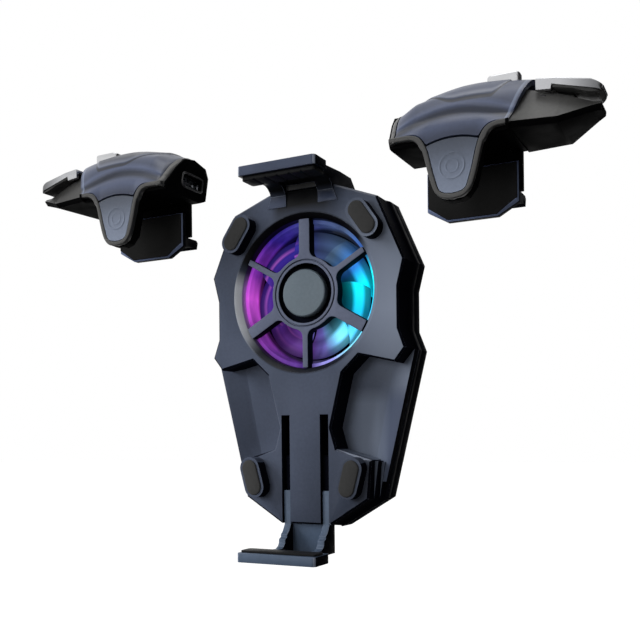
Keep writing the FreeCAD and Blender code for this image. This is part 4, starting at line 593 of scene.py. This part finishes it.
def cloth_of_points(title, rows):
    """Grid laid out on rows of points in millimetres, all rows equally long."""
    select_none()
    bpy.ops.mesh.primitive_grid_add(x_subdivisions=len(rows[0]) - 1,
                                    y_subdivisions=len(rows) - 1, size=1)
    piece = bpy.context.active_object
    piece.name = title
    points = [point for row in rows for point in row]
    for vertex, (x, y, z) in zip(piece.data.vertices, points):
        vertex.co = (x / 1000, y / 1000, z / 1000)
    edit_all(piece, (bpy.ops.mesh.remove_doubles, {"threshold": WELD}),
             (bpy.ops.mesh.normals_make_consistent, {"inside": False}))
    return piece


def turn_towards(piece, axis, sign):
    """Turns a sheet over if its outer side faces away from an axis's end."""
    if sign * sum(face.normal["XYZ".index(axis)] for face in piece.data.polygons) < 0:
        edit_all(piece, (bpy.ops.mesh.flip_normals, {}))


# Fan


BLADE_COUNT = 7
BLADE_TURN = 60
BLADE_SWEEP = 16
BLADE_CAMBER = 0.7
BLADE_FRONT, BLADE_BACK = 7.9, 12.2
BLADE_ROWS, BLADE_COLUMNS = 9, 18
# How much further back a blade lies at its tip
TIP_BACK = 0.35
HUB_RADIUS, TIP_RADIUS = 7.4, 15.1
CUP_RADIUS = 7.8
CUP_FRONT, CUP_REAR = 7.4, 12.7
RING_IN, RING_OUT = 7.0, 8.7
GROOVE_IN, GROOVE_OUT = 7.65, 7.95
GROOVE_DEEP = 0.35
GUARD_REACH = 17.5
GUARD_FRONT, GUARD_REAR = 4.2, 6.9
DISC_DEEP = 1.3
FILLET = 1.9
FILLET_STEPS = 8
# The spokes by their turn in degrees and half their width
SPOKES = [(0, 1.4), (60, 0.7), (120, 1.4), (180, 0.7), (240, 1.4), (300, 0.7)]
WASHER_IN, WASHER_OUT = 12.9, 17.4
WASHER_FRONT, WASHER_REAR = 12.95, 13.25
GUIDE_IN, GUIDE_OUT = 16.55, 17.5
GUIDE_FRONT, GUIDE_REAR = 6.4, 10.9
FLANGE_IN, FLANGE_FRONT = 15.42, 10.4
# How far a cutting drum reaches past what it cuts
BEYOND = 1


def blade_point(radial, chord, start):
    """Point of a swept blade: it leans back along its chord and hooks towards its tip."""
    radius = HUB_RADIUS + (TIP_RADIUS - HUB_RADIUS) * radial
    sweep = BLADE_SWEEP * radial ** 1.5
    angle = math.radians(start + sweep + BLADE_TURN * (chord - 0.5))
    camber = BLADE_CAMBER * math.sin(math.pi * chord)
    depth = BLADE_FRONT + (BLADE_BACK - BLADE_FRONT) * chord - camber + TIP_BACK * radial
    return (radius * math.sin(angle), depth, FAN_LEVEL * 1000 + radius * math.cos(angle))


def drum(radius, front, rear, sides=128):
    """Cylinder on the fan's axis."""
    select_none()
    bpy.ops.mesh.primitive_cylinder_add(
        vertices=sides, radius=radius / 1000, depth=(rear - front) / 1000,
        location=(0, (front + rear) / 2000, FAN_LEVEL), rotation=(math.radians(90), 0, 0))
    bpy.ops.object.transform_apply(location=True, rotation=True, scale=True)
    return bpy.context.active_object


def make_fan(looks):
    """Hub cup with seven broad swept blades."""
    blades = []
    for number in range(BLADE_COUNT):
        start = number * 360 / BLADE_COUNT
        rows = [[blade_point(radial / BLADE_ROWS, chord / BLADE_COLUMNS, start)
                 for chord in range(BLADE_COLUMNS + 1)] for radial in range(BLADE_ROWS + 1)]
        blade = cloth_of_points("blade_%d" % number, rows)
        apply_modifier(blade, "SOLIDIFY", thickness=0.0007, offset=0)
        round_edges(blade, 0.00018, 2, 30)
        blades.append(blade)
    hub = drum(CUP_RADIUS, CUP_FRONT, CUP_REAR, 72)
    round_edges(hub, 0.0006, 3, 30)
    for blade in blades:
        blade.select_set(True)
    bpy.ops.object.join()
    hub.name = "rotor"
    dressed(hub, looks["blades"], 35, "fan", "fan_rotor")


def guard_outline():
    """Outline of the ring and its six spokes, with rounded inner corners, in X and Z."""
    points = []
    corner = RING_OUT + FILLET

    def add(degrees, along, beside):
        turn = math.radians(degrees)
        points.append((along * math.sin(turn) + beside * math.cos(turn),
                       along * math.cos(turn) - beside * math.sin(turn)))
    for number, (degrees, half) in enumerate(SPOKES):
        lean = math.asin((half + FILLET) / corner)
        centre = corner * math.cos(lean)
        left, right = [], []
        for step in range(FILLET_STEPS + 1):
            turn = (math.pi / 2 - lean) * step / FILLET_STEPS
            beside = half + FILLET - FILLET * math.sin(lean + turn)
            along = centre - FILLET * math.cos(lean + turn)
            left.append((along, -beside))
            right.append((along, beside))
        for along, beside in left:
            add(degrees, along, beside)
        reach = math.sqrt(GUARD_REACH ** 2 - half ** 2)
        add(degrees, reach, -half)
        add(degrees, GUARD_REACH, 0)
        add(degrees, reach, half)
        for along, beside in reversed(right):
            add(degrees, along, beside)
        start = degrees + math.degrees(lean)
        following = SPOKES[(number + 1) % 6][1]
        end = degrees + 60 - math.degrees(math.asin((following + FILLET) / corner))
        for step in range(1, FILLET_STEPS):
            add(start + (end - start) * step / FILLET_STEPS, RING_OUT, 0)
    return points


def prism(title, outline, front, rear):
    """Solid between two depths on an outline in X and Z round the fan's axis."""
    select_none()
    bpy.ops.mesh.primitive_circle_add(vertices=len(outline), fill_type="NGON")
    piece = bpy.context.active_object
    piece.name = title
    for vertex, (across, up) in zip(piece.data.vertices, outline):
        vertex.co = (across / 1000, front / 1000, FAN_LEVEL + up / 1000)
    edit_all(piece, (bpy.ops.mesh.extrude_region_move,
                     {"TRANSFORM_OT_translate": {"value": (0, (rear - front) / 1000, 0)}}),
             (bpy.ops.mesh.normals_make_consistent, {"inside": False}))
    return piece


def make_guard(looks):
    """Ring with six spokes that flare into it, over a thin rear disc."""
    guard = prism("guard", guard_outline(), GUARD_FRONT, GUARD_REAR)
    cut_away(guard, drum(RING_IN, GUARD_FRONT - BEYOND, GUARD_REAR - DISC_DEEP))
    groove = drum(GROOVE_OUT, GUARD_FRONT - BEYOND, GUARD_FRONT + GROOVE_DEEP)
    cut_away(groove, drum(GROOVE_IN, GUARD_FRONT - 2 * BEYOND, GUARD_FRONT + BEYOND))
    cut_away(guard, groove)
    round_edges(guard, 0.00032, 3, 50)
    dressed(guard, looks["frame"], 40, "cooler", "fan_guard")
    # Painted shade on the spokes' sides and on the guard behind its front
    second_look(guard, looks["wall"], lambda face: face.normal.y > -0.3
                or face.center.y > (GUARD_FRONT + 0.5) / 1000)


def make_shade_washer(looks):
    """Thin black washer of the fan's frame, behind the blades: painted shade that hides the
    bright slots behind it.
    """
    lip = drum(WASHER_OUT, WASHER_FRONT, WASHER_REAR)
    cut_away(lip, drum(WASHER_IN, WASHER_FRONT - BEYOND, WASHER_REAR + BEYOND))
    lip.name = "shade_washer"
    dressed(lip, looks["wall"], 30, "cooler")


def make_light_ring(looks):
    """Lit wall of the duct with a thin flange behind the blade tips."""
    ring = drum(GUIDE_OUT, GUIDE_FRONT, GUIDE_REAR)
    cut_away(ring, drum(GUIDE_IN, GUIDE_FRONT - BEYOND, FLANGE_FRONT))
    cut_away(ring, drum(FLANGE_IN, FLANGE_FRONT - BEYOND, GUIDE_REAR + BEYOND))
    round_edges(ring, 0.0001, 1, 50)
    ring.name = "light_guide"
    dressed(ring, looks["lamp_ring"], 35, "cooler", "light_ring")


# Trigger modules


# Sections of the hood as (depth, height) from its front edge over the crown to the back
HOOD_SECTIONS = [
    (-13.7, [(-12.2, 40.6), (-11.6, 40.9), (-10.8, 41.4), (-9.9, 42.3), (-7.9, 44.6),
             (-5.2, 47.0), (-1.5, 47.8), (3.2, 46.9), (4.6, 45.0), (4.9, 42.6), (4.9, 40.5)]),
    (-12.3, [(-12.6, 40.6), (-12.1, 41.4), (-11.3, 42.5), (-10.8, 43.4), (-8.6, 46.0),
             (-5.3, 48.0), (-1.5, 49.0), (3.0, 47.8), (4.6, 45.5), (4.95, 42.8), (4.95, 40.5)]),
    (-8.5, [(-12.85, 40.6), (-12.2, 41.9), (-11.2, 43.6), (-10.9, 45.0), (-8.9, 48.0),
            (-5.4, 49.6), (-1.5, 50.5), (2.8, 48.9), (4.7, 46.0), (5.0, 43.0), (5.0, 40.5)]),
    (0, [(-12.9, 40.6), (-12.2, 42.2), (-11.1, 44.3), (-10.9, 46.0), (-9.2, 48.9),
         (-5.8, 51.1), (-1.5, 52.0), (2.8, 50.0), (4.8, 46.4), (5.0, 43.4), (5.0, 40.5)]),
    (9, [(-12.8, 40.6), (-12.2, 41.6), (-11.6, 42.7), (-11.4, 44.0), (-9.8, 47.6),
         (-6.3, 50.4), (-1.5, 51.2), (2.8, 49.2), (4.7, 46.0), (5.0, 43.2), (5.0, 40.5)]),
    (16, [(-12.4, 40.6), (-12.0, 41.3), (-11.6, 42.1), (-11.3, 43.2), (-9.2, 46.8),
          (-5.9, 49.4), (-1.4, 50.2), (2.6, 48.4), (4.6, 45.4), (5.0, 42.9), (5.0, 40.5)])]
HOOD_ROWS = 84
LOW_POINTS = 22
SECTION_STEPS = 14
# The hood's front edge flares down into the tongue between these distances out
FLARE_START, FLARE_END = 9.0, 5.3
FLARE_DROP = 2.5


def hood_outer(height):
    """Distance out of the hood's slanted outer edge at a height."""
    return 11.15 + (height - WING_TOP) * OUTER_LEAN


def hood_inner(height):
    """Distance out of the leaning inner edge at a height."""
    return -12.05 - (height - WING_TOP) * INNER_LEAN


def front_edge(out):
    """Height of the hood's front edge: the wing's rim, the flare, then the tongue's seam."""
    reach = abs(out)
    if reach >= FLARE_START:
        return FRONT_TOP
    if reach > FLARE_END:
        share = (FLARE_START - reach) / (FLARE_START - FLARE_END)
        return FRONT_TOP - FLARE_DROP * share ** 2.6
    return FRONT_TOP - FLARE_DROP + 0.9 * (1 - (reach / FLARE_END) ** 2)


def clamped(share):
    return min(max(share, 0), 1)


def hood_section(out):
    """Smooth section of the hood at a distance out."""
    places = [place for place, _ in HOOD_SECTIONS]
    last = len(places) - 1
    index = max(i for i, place in enumerate(places) if place <= out or i == 0)
    index = min(index, last - 1)
    near = [HOOD_SECTIONS[min(max(index + k, 0), last)][1] for k in (-1, 0, 1, 2)]
    share = clamped((out - places[index]) / (places[index + 1] - places[index]))
    return curve_through([between(share, *points) for points in zip(*near)], SECTION_STEPS)


def crown_step(out, depth):
    """Share of the raised crown at a place on the hood."""
    edge = CROWN_EDGE + max(-out, 0) ** 2 * CROWN_INNER_BEND
    edge += max(out - CROWN_TURN, 0) ** 2 * CROWN_OUTER_BEND
    share = clamped((depth - edge) / 0.35)
    share *= clamped((4.4 - depth) / 0.6) * clamped((out + 12.2) / 0.5)
    return share * share * (3 - 2 * share)


def make_hood(looks, side_name, side):
    """Blue upper shell of a module, with its raised crown and the flare into the tongue."""
    rows = []
    for row in range(HOOD_ROWS + 1):
        along = row / HOOD_ROWS
        middle = hood_inner(45) + (hood_outer(45) - hood_inner(45)) * along
        points = []
        for number, (depth, height) in enumerate(hood_section(middle)):
            low, high = hood_inner(height), hood_outer(height)
            out = low + (high - low) * along
            share = min(number / LOW_POINTS, 1)
            if number == 0:
                height = front_edge(out)
            else:
                height += (front_edge(out) - FRONT_TOP) * (1 - share) ** 2
            height += CROWN_RISE * (crown_step(out, depth) - share) - CROWN_SINK
            points.append((side * (MODULE_MIDDLE + out), depth, height))
        rows.append(points)
    hood = cloth_of_points(side_name + "_hood", rows)
    turn_towards(hood, "Z", 1)
    apply_modifier(hood, "SOLIDIFY", thickness=HOOD_WALL / 1000, offset=-1, use_even_offset=False)
    round_edges(hood, 0.00022, 2, 50)
    dressed(hood, looks["cover"], 40, side_name + "_module", side_name + "_top_cover")


def rim_outline(inset):
    """Half of the rim's outline, from its outer end to the tongue's tip, as (out, height)."""
    wing = WING_TOP - 1.0 + inset
    flare = [(9.6, wing), (8.4, wing - 0.15), (7.3 - inset * 0.4, wing - 0.85 + inset * 0.1),
             (6.6 - inset * 0.75, wing - 2.1), (6.05 - inset, 36.4), (5.1 - inset, 32.6)]
    tip = [(4.35 - inset, 29.9 + inset * 0.1), (3.55 - inset * 0.8, 28.2 + inset * 0.35),
           (2.2 - inset * 0.55, 27.0 + inset * 0.85), (0, 26.6 + inset)]
    return curve_through(flare + tip, 6)


def make_end_band(looks, side_name, side):
    """Rim that climbs along the hood's leaning inner edge."""
    edge = [(-12.95, 39.45), (-12.9, 39.9), (-12.7, 40.3)]
    edge += [point for point in hood_section(hood_inner(45)) if point[0] < 4.4]
    rows = []
    for away, fall in ((0.12, 0.1), (0.5, 0.15), (1.15, 0.6), (1.35, 1.6)):
        row = []
        for number, (depth, height) in enumerate(edge):
            start, end = edge[max(number - 1, 0)], edge[min(number + 1, len(edge) - 1)]
            run, climb = end[0] - start[0], end[1] - start[1]
            length = math.hypot(run, climb) or 1
            row.append((side * (MODULE_MIDDLE + hood_inner(height) - away),
                        depth + climb / length * fall - 0.1, height - run / length * fall - 0.05))
        rows.append(row)
    band = cloth_of_points(side_name + "_end_band", rows)
    turn_towards(band, "Z", 1)
    apply_modifier(band, "SOLIDIFY", thickness=0.0009, offset=-1, use_even_offset=False)
    dressed(band, looks["rim"], 50, side_name + "_module")


def make_rim(looks, side_name, side):
    """Dark raised rim along the wing's front edge and round the tongue."""
    rows = []
    for inset, lift, depth in ((0, -1.0, 0.12), (1.05, 0.05, 0.02)):
        half = [(14.0, WING_TOP + lift), (11.6, WING_TOP + lift)] + rim_outline(inset)
        run = half + [(-out, height) for out, height in reversed(half[:-1])]
        rows.append([(side * (MODULE_MIDDLE + max(min(out, 11.3), -13.3)), LIP_LEVEL + depth,
                      height) for out, height in run])
    rim = cloth_of_points(side_name + "_rim", rows)
    turn_towards(rim, "Y", -1)
    apply_modifier(rim, "SOLIDIFY", thickness=0.0017, offset=-1, use_even_offset=False)
    round_edges(rim, 0.00028, 3, 40)
    dressed(rim, looks["rim"], 35, side_name + "_module")


PANEL_STEPS = 35
RING_LEVEL = 33.1
# The inlay's plain rings by their radius and how far they stand out
PANEL_RINGS = ((2.5, 0.12), (1.3, 0.09))


def make_panel(looks, side_name, side):
    """Inlay in the tongue, with two plain raised rings."""
    half = curve_through([point for point in rim_outline(1.2)
                          if point[1] < WING_TOP - FLARE_DROP], 3)
    top, tip = half[0][1], half[-1][1]
    rows = []
    for out, height in half:
        crown = 0.9 * (1 - (top - height) / (top - tip)) ** 3
        row = []
        for step in range(-PANEL_STEPS, PANEL_STEPS + 1):
            across = step / PANEL_STEPS
            x, z = out * across, height + crown * (1 - across ** 2)
            distance = math.hypot(x, z - RING_LEVEL)
            rings = sum(math.exp(-((distance - radius) / 0.13) ** 2) * rise
                        for radius, rise in PANEL_RINGS)
            row.append((side * (MODULE_MIDDLE + x), LIP_LEVEL + 0.22 - rings, z))
        rows.append(row)
    panel = cloth_of_points(side_name + "_panel", rows)
    turn_towards(panel, "Y", -1)
    apply_modifier(panel, "SOLIDIFY", thickness=0.0009, offset=-1)
    dressed(panel, looks["panel"], 30, side_name + "_module", side_name + "_tongue_panel")


def clip_front(shell, side):
    """Takes the plain front edge off the copied shell, where the rim stands."""
    select_none()
    low, high = sorted((side * (MODULE_MIDDLE - 16), side * (MODULE_MIDDLE + 10.6)))
    bpy.ops.mesh.primitive_cube_add(size=1, location=((low + high) / 2000, -0.01275, 0.0305))
    block = bpy.context.active_object
    block.scale = ((high - low) / 1000, 0.0025, 0.0198)
    bpy.ops.object.transform_apply(location=True, rotation=True, scale=True)
    cut_away(shell, block)


JAW_LEVEL = 0.03095
JAW_WIDER, JAW_TALLER = 1.07, 1.13


def widen_jaw_face(looks, side_name, side):
    """Soft black face of the jaw, up to a narrow edge of the plate."""
    face = soften(side_name + "_jaw_pad", side_name + "_jaw_face", looks["jaw_face"], 0.0001, 30)
    middle = side * MODULE_MIDDLE / 1000
    for vertex in face.data.vertices:
        vertex.co.x = middle + (vertex.co.x - middle) * JAW_WIDER
        vertex.co.z = JAW_LEVEL + (vertex.co.z - JAW_LEVEL) * JAW_TALLER
        vertex.co.y -= 0.00006


def width_of(piece, face):
    """Width of a three-sided face across its longest edge."""
    points = [piece.data.vertices[index].co for index in face.vertices]
    longest = max((a - b).length for a, b in zip(points, points[1:] + points[:1]))
    return 2 * face.area / max(longest, 1e-9)


def paint_edge_highlights(piece, material, limit, deepest=1.0):
    """Paints highlights on the narrow bevels between a piece's front and its walls."""
    second_look(piece, material, lambda face: -0.9 < face.normal.y < -0.35
                and face.center.y < deepest and width_of(piece, face) < limit)


def left_scoop_edge(piece, face):
    """Narrow bevel round the left scoop, which lies in its own shade and takes painted shade."""
    x, y, z = face.center
    inside = x < -0.0035 and y > 0.0032 and z < -0.001
    return inside and -0.95 < face.normal.y < -0.2 and width_of(piece, face) < 0.0003


# The top of the lever plate falls outwards from its start
LEVER_START, LEVER_TOP, LEVER_FALL = 0.0573, 0.0483, 0.2097
LEVER_FRONT = -0.0083
LIP_DROP = 0.0007


def lengthen_lip(piece):
    """Draws the lever plate's front edge down over the dark half."""
    for vertex in piece.data.vertices:
        out = abs(vertex.co.x) - LEVER_START
        top = LEVER_TOP - out * LEVER_FALL
        if vertex.co.y < LEVER_FRONT and out > 0.0034 and vertex.co.z < top - 0.0005:
            vertex.co.z -= LIP_DROP


def outer_wall(face):
    """Faces that take painted shade: side walls of the face plate, the scoops' shaded walls and
    its rear.
    """
    x, y, z = face.center
    across, deep, up = face.normal
    beyond_duct = math.hypot(x, z - FAN_LEVEL) > DUCT_EDGE
    outside = x * across > 0 and abs(across) > 0.4 and abs(x) > 0.0165
    below = up < -0.3 and z < -0.028 and deep > -0.7
    shaded = (across > 0.2 or up < -0.3) and abs(deep) < 0.75 and up < 0.5 and beyond_duct
    ledge = y > 0.0046 and beyond_duct and (z < -0.029 or z > -0.002)
    return outside or below or shaded or ledge or deep > 0.5


# Above this height the claw's frame lies in the slots, in painted shade
CLAW_IN_SLOTS = -0.0322


def cooler_pieces(looks):
    """The cooler's own nodes: the shown ones with soft edges, the inner ones as they are."""
    for node, title, look, width in (
            ("front_cover", "cover_plate", "face", 0.00028),
            ("rear_housing", "housing_tub", "housing", 0.0004),
            ("back_cover", "rear_lid", "housing", 0.0002),
            ("rest_pads_upper", "upper_pads", "rubber", 0.0003),
            ("rest_pads_lower", "lower_pads", "rubber", 0.0003),
            ("hub_cap", "cap", "disc", 0.0002),
            ("top_hook", "hook", "hook", 0.0003),
            ("hook_pad", "hook_strip", "strip", 0.0002),
            ("lower_claw", "claw_frame", "claw", 0.0003),
            ("claw_pad", "claw_strip", "strip", 0.00012),
            ("power_button", "power_cap", "shell", 0.0002)):
        piece = soften(node, title, looks[look], width)
        if title == "cover_plate":
            # Painted shade on walls turned from the light, painted highlights on the front's
            # bevels
            second_look(piece, looks["wall"], outer_wall)
            paint_edge_highlights(piece, looks["edge"], 0.0003, 0.0045)
            second_look(piece, looks["wall"], lambda face: left_scoop_edge(piece, face))
        if title in ("hook", "claw_frame"):
            # Painted shade on the right sides and rear, painted highlights on the bevels
            second_look(piece, looks["wall"], lambda face: face.normal.x > 0.5
                        or face.center.y > 0.0075 and face.center.z > 0)
            paint_edge_highlights(piece, looks["edge"], 0.00032)
        if title == "claw_frame":
            # Painted shade on the part of the claw's frame inside the slots
            second_look(piece, looks["wall"], lambda face: face.center.z > CLAW_IN_SLOTS)
    # The LED board takes the painted shade of the walls
    for node, look in (
            ("case_screws", "dark_screw"), ("led_board", "wall"),
            ("fan_frame", "housing"), ("bearing", "brass"), ("motor_stator", "copper"),
            ("rotor_magnet", "magnet"), ("rotor_shaft", "steel"), ("control_board", "board"),
            ("battery", "cell"), ("usb_board", "board"), ("usb_socket", "steel"),
            ("claw_guide", "housing")):
        finish_node(node, looks[look])


PORT_MIDDLE = (-1.5, 42.55)
PORT_HALF = (4.0, 1.5)
END_WALL = 1.9


def blunted(value):
    """Turns a circle's coordinate into that of a rounded box."""
    return math.copysign(abs(value) ** 0.4, value)


def make_port_lip(looks, side_name, side):
    """Fine raised lip round the charging port in the leaning end wall, grey as a painted
    highlight.
    """
    rows = []
    for wider, away in ((0.0, 0.02), (0.1, 0.12), (0.28, 0.12), (0.36, 0.0)):
        row = []
        for step in range(49):
            turn = 2 * math.pi * step / 48
            depth = PORT_MIDDLE[0] + (PORT_HALF[0] + wider) * blunted(math.cos(turn))
            height = PORT_MIDDLE[1] + (PORT_HALF[1] + wider) * blunted(math.sin(turn))
            out = MODULE_MIDDLE + hood_inner(height) - END_WALL - away
            row.append((side * out, depth, height))
        rows.append(row)
    lip = cloth_of_points(side_name + "_port_lip", rows)
    apply_modifier(lip, "SOLIDIFY", thickness=0.0001, offset=0)
    dressed(lip, looks["port_edge_highlight"], 50, side_name + "_module")


PORT_MARGIN = 0.0011


def near_port(socket, face):
    """Rounded edge of the opening round a socket in the module's end wall."""
    corners = [socket.matrix_world @ Vector(corner) for corner in socket.bound_box]
    low = [min(corner[axis] for corner in corners) for axis in range(3)]
    high = [max(corner[axis] for corner in corners) for axis in range(3)]
    inside = all(low[axis] - PORT_MARGIN < face.center[axis] < high[axis] + PORT_MARGIN
                 for axis in (1, 2))
    inward = abs(face.center.x) < min(abs(low[0]), abs(high[0])) + 0.0025
    return inside and inward and 0.2 < abs(face.normal.x) < 0.98


def module_pieces(looks, side_name):
    """All of one trigger module."""
    side = 1 if side_name == "right" else -1
    for make in (make_hood, make_rim, make_end_band, make_port_lip, make_panel):
        make(looks, side_name, side)
    shell = soften(side_name + "_main_shell", side_name + "_shell", looks["switch"], 0.0004, 40)
    clip_front(shell, side)
    # Painted light on the shell's upward faces at the grips
    second_look(shell, looks["grip"], lambda face: face.normal.z > 0.12
                and abs(face.center.x) > 0.0515)
    socket = frame["nodes"][side_name + "_usb_socket"]
    # Painted highlight round the port's opening
    second_look(shell, looks["port_edge_highlight"], lambda face: near_port(socket, face))
    for node, title, look, width, smooth in (
            ("touch_pad", "touch", "rubber", 0.0002, 30),
            ("jaw_plate", "jaw", "jaw", 0.00015, 30),
            ("trigger_plate", "lever_top", "chrome", 0.00022, 60),
            ("trigger_core", "lever_body", "shell", 0.0003, 35),
            ("top_button", "key", "silver", 0.0002, 40)):
        piece = soften("%s_%s" % (side_name, node), "%s_%s" % (side_name, title), looks[look],
                       width, smooth)
        if title == "lever_top":
            lengthen_lip(piece)
        if title == "jaw":
            # Painted shade on the jaw's rear
            second_look(piece, looks["wall"], lambda face: face.center.y > 0.0005)
    widen_jaw_face(looks, side_name, side)
    for node, look in (
            ("jaw_pins", "steel"), ("jaw_springs", "steel"), ("trigger_pin", "dark_screw"),
            ("circuit_board", "board"), ("trigger_switch", "switch"), ("battery", "cell"),
            ("usb_socket", "steel"), ("screws", "dark_screw")):
        finish_node("%s_%s" % (side_name, node), looks[look])


# Stage


PHOTO_WIDE = 640
CAMERA_LENS = 48.06
CAMERA_TURN = 26.926
CAMERA_ROLL = 0.6
CAMERA_PLACE = (0.09398, -0.1731, -0.0192)
CAMERA_SHIFT = (-0.94, 115.08)


def make_camera():
    data = bpy.data.cameras.new("camera")
    data.lens = CAMERA_LENS
    data.sensor_width = 36
    data.shift_x, data.shift_y = (pixels / PHOTO_WIDE for pixels in CAMERA_SHIFT)
    data.clip_start = 0.005
    data.dof.use_dof = False
    camera = added("camera", data)
    turn = Matrix.Rotation(math.radians(CAMERA_TURN), 4, "Z")
    upright = Matrix.Rotation(math.radians(90), 4, "X")
    roll = Matrix.Rotation(math.radians(-CAMERA_ROLL), 4, "Z")
    camera.matrix_world = Matrix.Translation(CAMERA_PLACE) @ turn @ upright @ roll
    bpy.context.scene.camera = camera


def lamp(name, place, target, size, power, shiny=True):
    data = bpy.data.lights.new(name, "AREA")
    data.shape = "RECTANGLE"
    data.size, data.size_y = size
    data.energy = power
    item = added(name, data)
    item.visible_glossy = shiny
    item.location = place
    item.rotation_euler = (Vector(target) - Vector(place)).to_track_quat("-Z", "Y").to_euler()


def seen_by(tree, *kinds):
    """One for rays of the given kinds, nothing for the others."""
    path = tree.nodes.new("ShaderNodeLightPath")
    seen = path.outputs[kinds[0]]
    for kind in kinds[1:]:
        seen = calculate(tree, "MAXIMUM", seen, path.outputs[kind])
    return seen


def make_world():
    """White to the camera and in reflections, a soft grey fill for the rest."""
    world = bpy.data.worlds.new("studio")
    bpy.context.scene.world = world
    world.use_nodes = True
    tree = world.node_tree
    back = tree.nodes["Background"]
    seen = seen_by(tree, "Is Camera Ray", "Is Glossy Ray", "Is Transmission Ray")
    tree.links.new(spread(tree, seen, 0, 1, 0.06, 1.0), back.inputs["Strength"])
    back.inputs["Color"].default_value = WHITE


def make_floor():
    select_none()
    bpy.ops.mesh.primitive_grid_add(x_subdivisions=2, y_subdivisions=2, size=6,
                                    location=(0, 0, FLOOR_LEVEL))
    floor = bpy.context.active_object
    floor.name = "floor"
    material, tree, shader, place = new_material("floor_white")
    tone = shades(tree, noise(tree, place, 3, 2), [(0.3, 0.3), (0.7, 0.33)])
    tree.links.new(tone, shader.inputs["Base Color"])
    shader.inputs["Roughness"].default_value = 0.9
    seen = seen_by(tree, "Is Camera Ray", "Is Glossy Ray")
    tree.links.new(times(tree, seen, 0.93), shader.inputs["Emission Strength"])
    shader.inputs["Emission Color"].default_value = WHITE
    floor.data.materials.append(material)


def make_flag(name, *corners):
    """Black card that darkens reflections, kept out of the picture."""
    mesh = bpy.data.meshes.new(name)
    mesh.from_pydata(corners, [], [(0, 1, 2, 3)])
    card = added(name, mesh)
    material, _, shader, _ = new_material(name + "_black")
    shader.inputs["Base Color"].default_value = (0.01, 0.01, 0.012, 1)
    shader.inputs["Roughness"].default_value = 0.9
    card.data.materials.append(material)
    card.visible_camera = False
    card.visible_shadow = False
    card.visible_diffuse = False


FLAG_LOW, FLAG_HIGH = -0.6, 0.7
LOW_FLAG_LEVEL = -0.11


def make_stage():
    bpy.context.scene.view_settings.view_transform = "Standard"
    make_camera()
    make_world()
    make_floor()
    for name, left, right in (("side_flag", (0.1, 0.5), (0.8, 0.1)),
                              ("edge_flag", (0.8, 0.1), (0.75, -0.25))):
        make_flag(name, (*left, FLAG_LOW), (*right, FLAG_LOW), (*right, FLAG_HIGH),
                  (*left, FLAG_HIGH))
    make_flag("low_flag", *((x, y, LOW_FLAG_LEVEL) for x, y in (
        (-0.5, -0.35), (0.5, -0.35), (0.5, 0.3), (-0.5, 0.3))))
    lamp("key", (-0.75, -0.5, 0.35), (0, 0, 0), (0.35, 0.5), 7.5, False)
    lamp("fill", (-0.25, -0.8, 0.12), (0, 0, 0), (0.3, 0.3), 2.2, False)
    lamp("top", (0.05, -0.05, 0.6), (0, 0, 0.03), (0.5, 0.3), 1.0)


BODIES = frame["record"]["behaviour"]["bodies"]
select_none()
LOOKS = make_materials()
cooler_pieces(LOOKS)
make_guard(LOOKS)
make_light_ring(LOOKS)
make_shade_washer(LOOKS)
make_fan(LOOKS)
for side in SIDES:
    module_pieces(LOOKS, side)
make_stage()
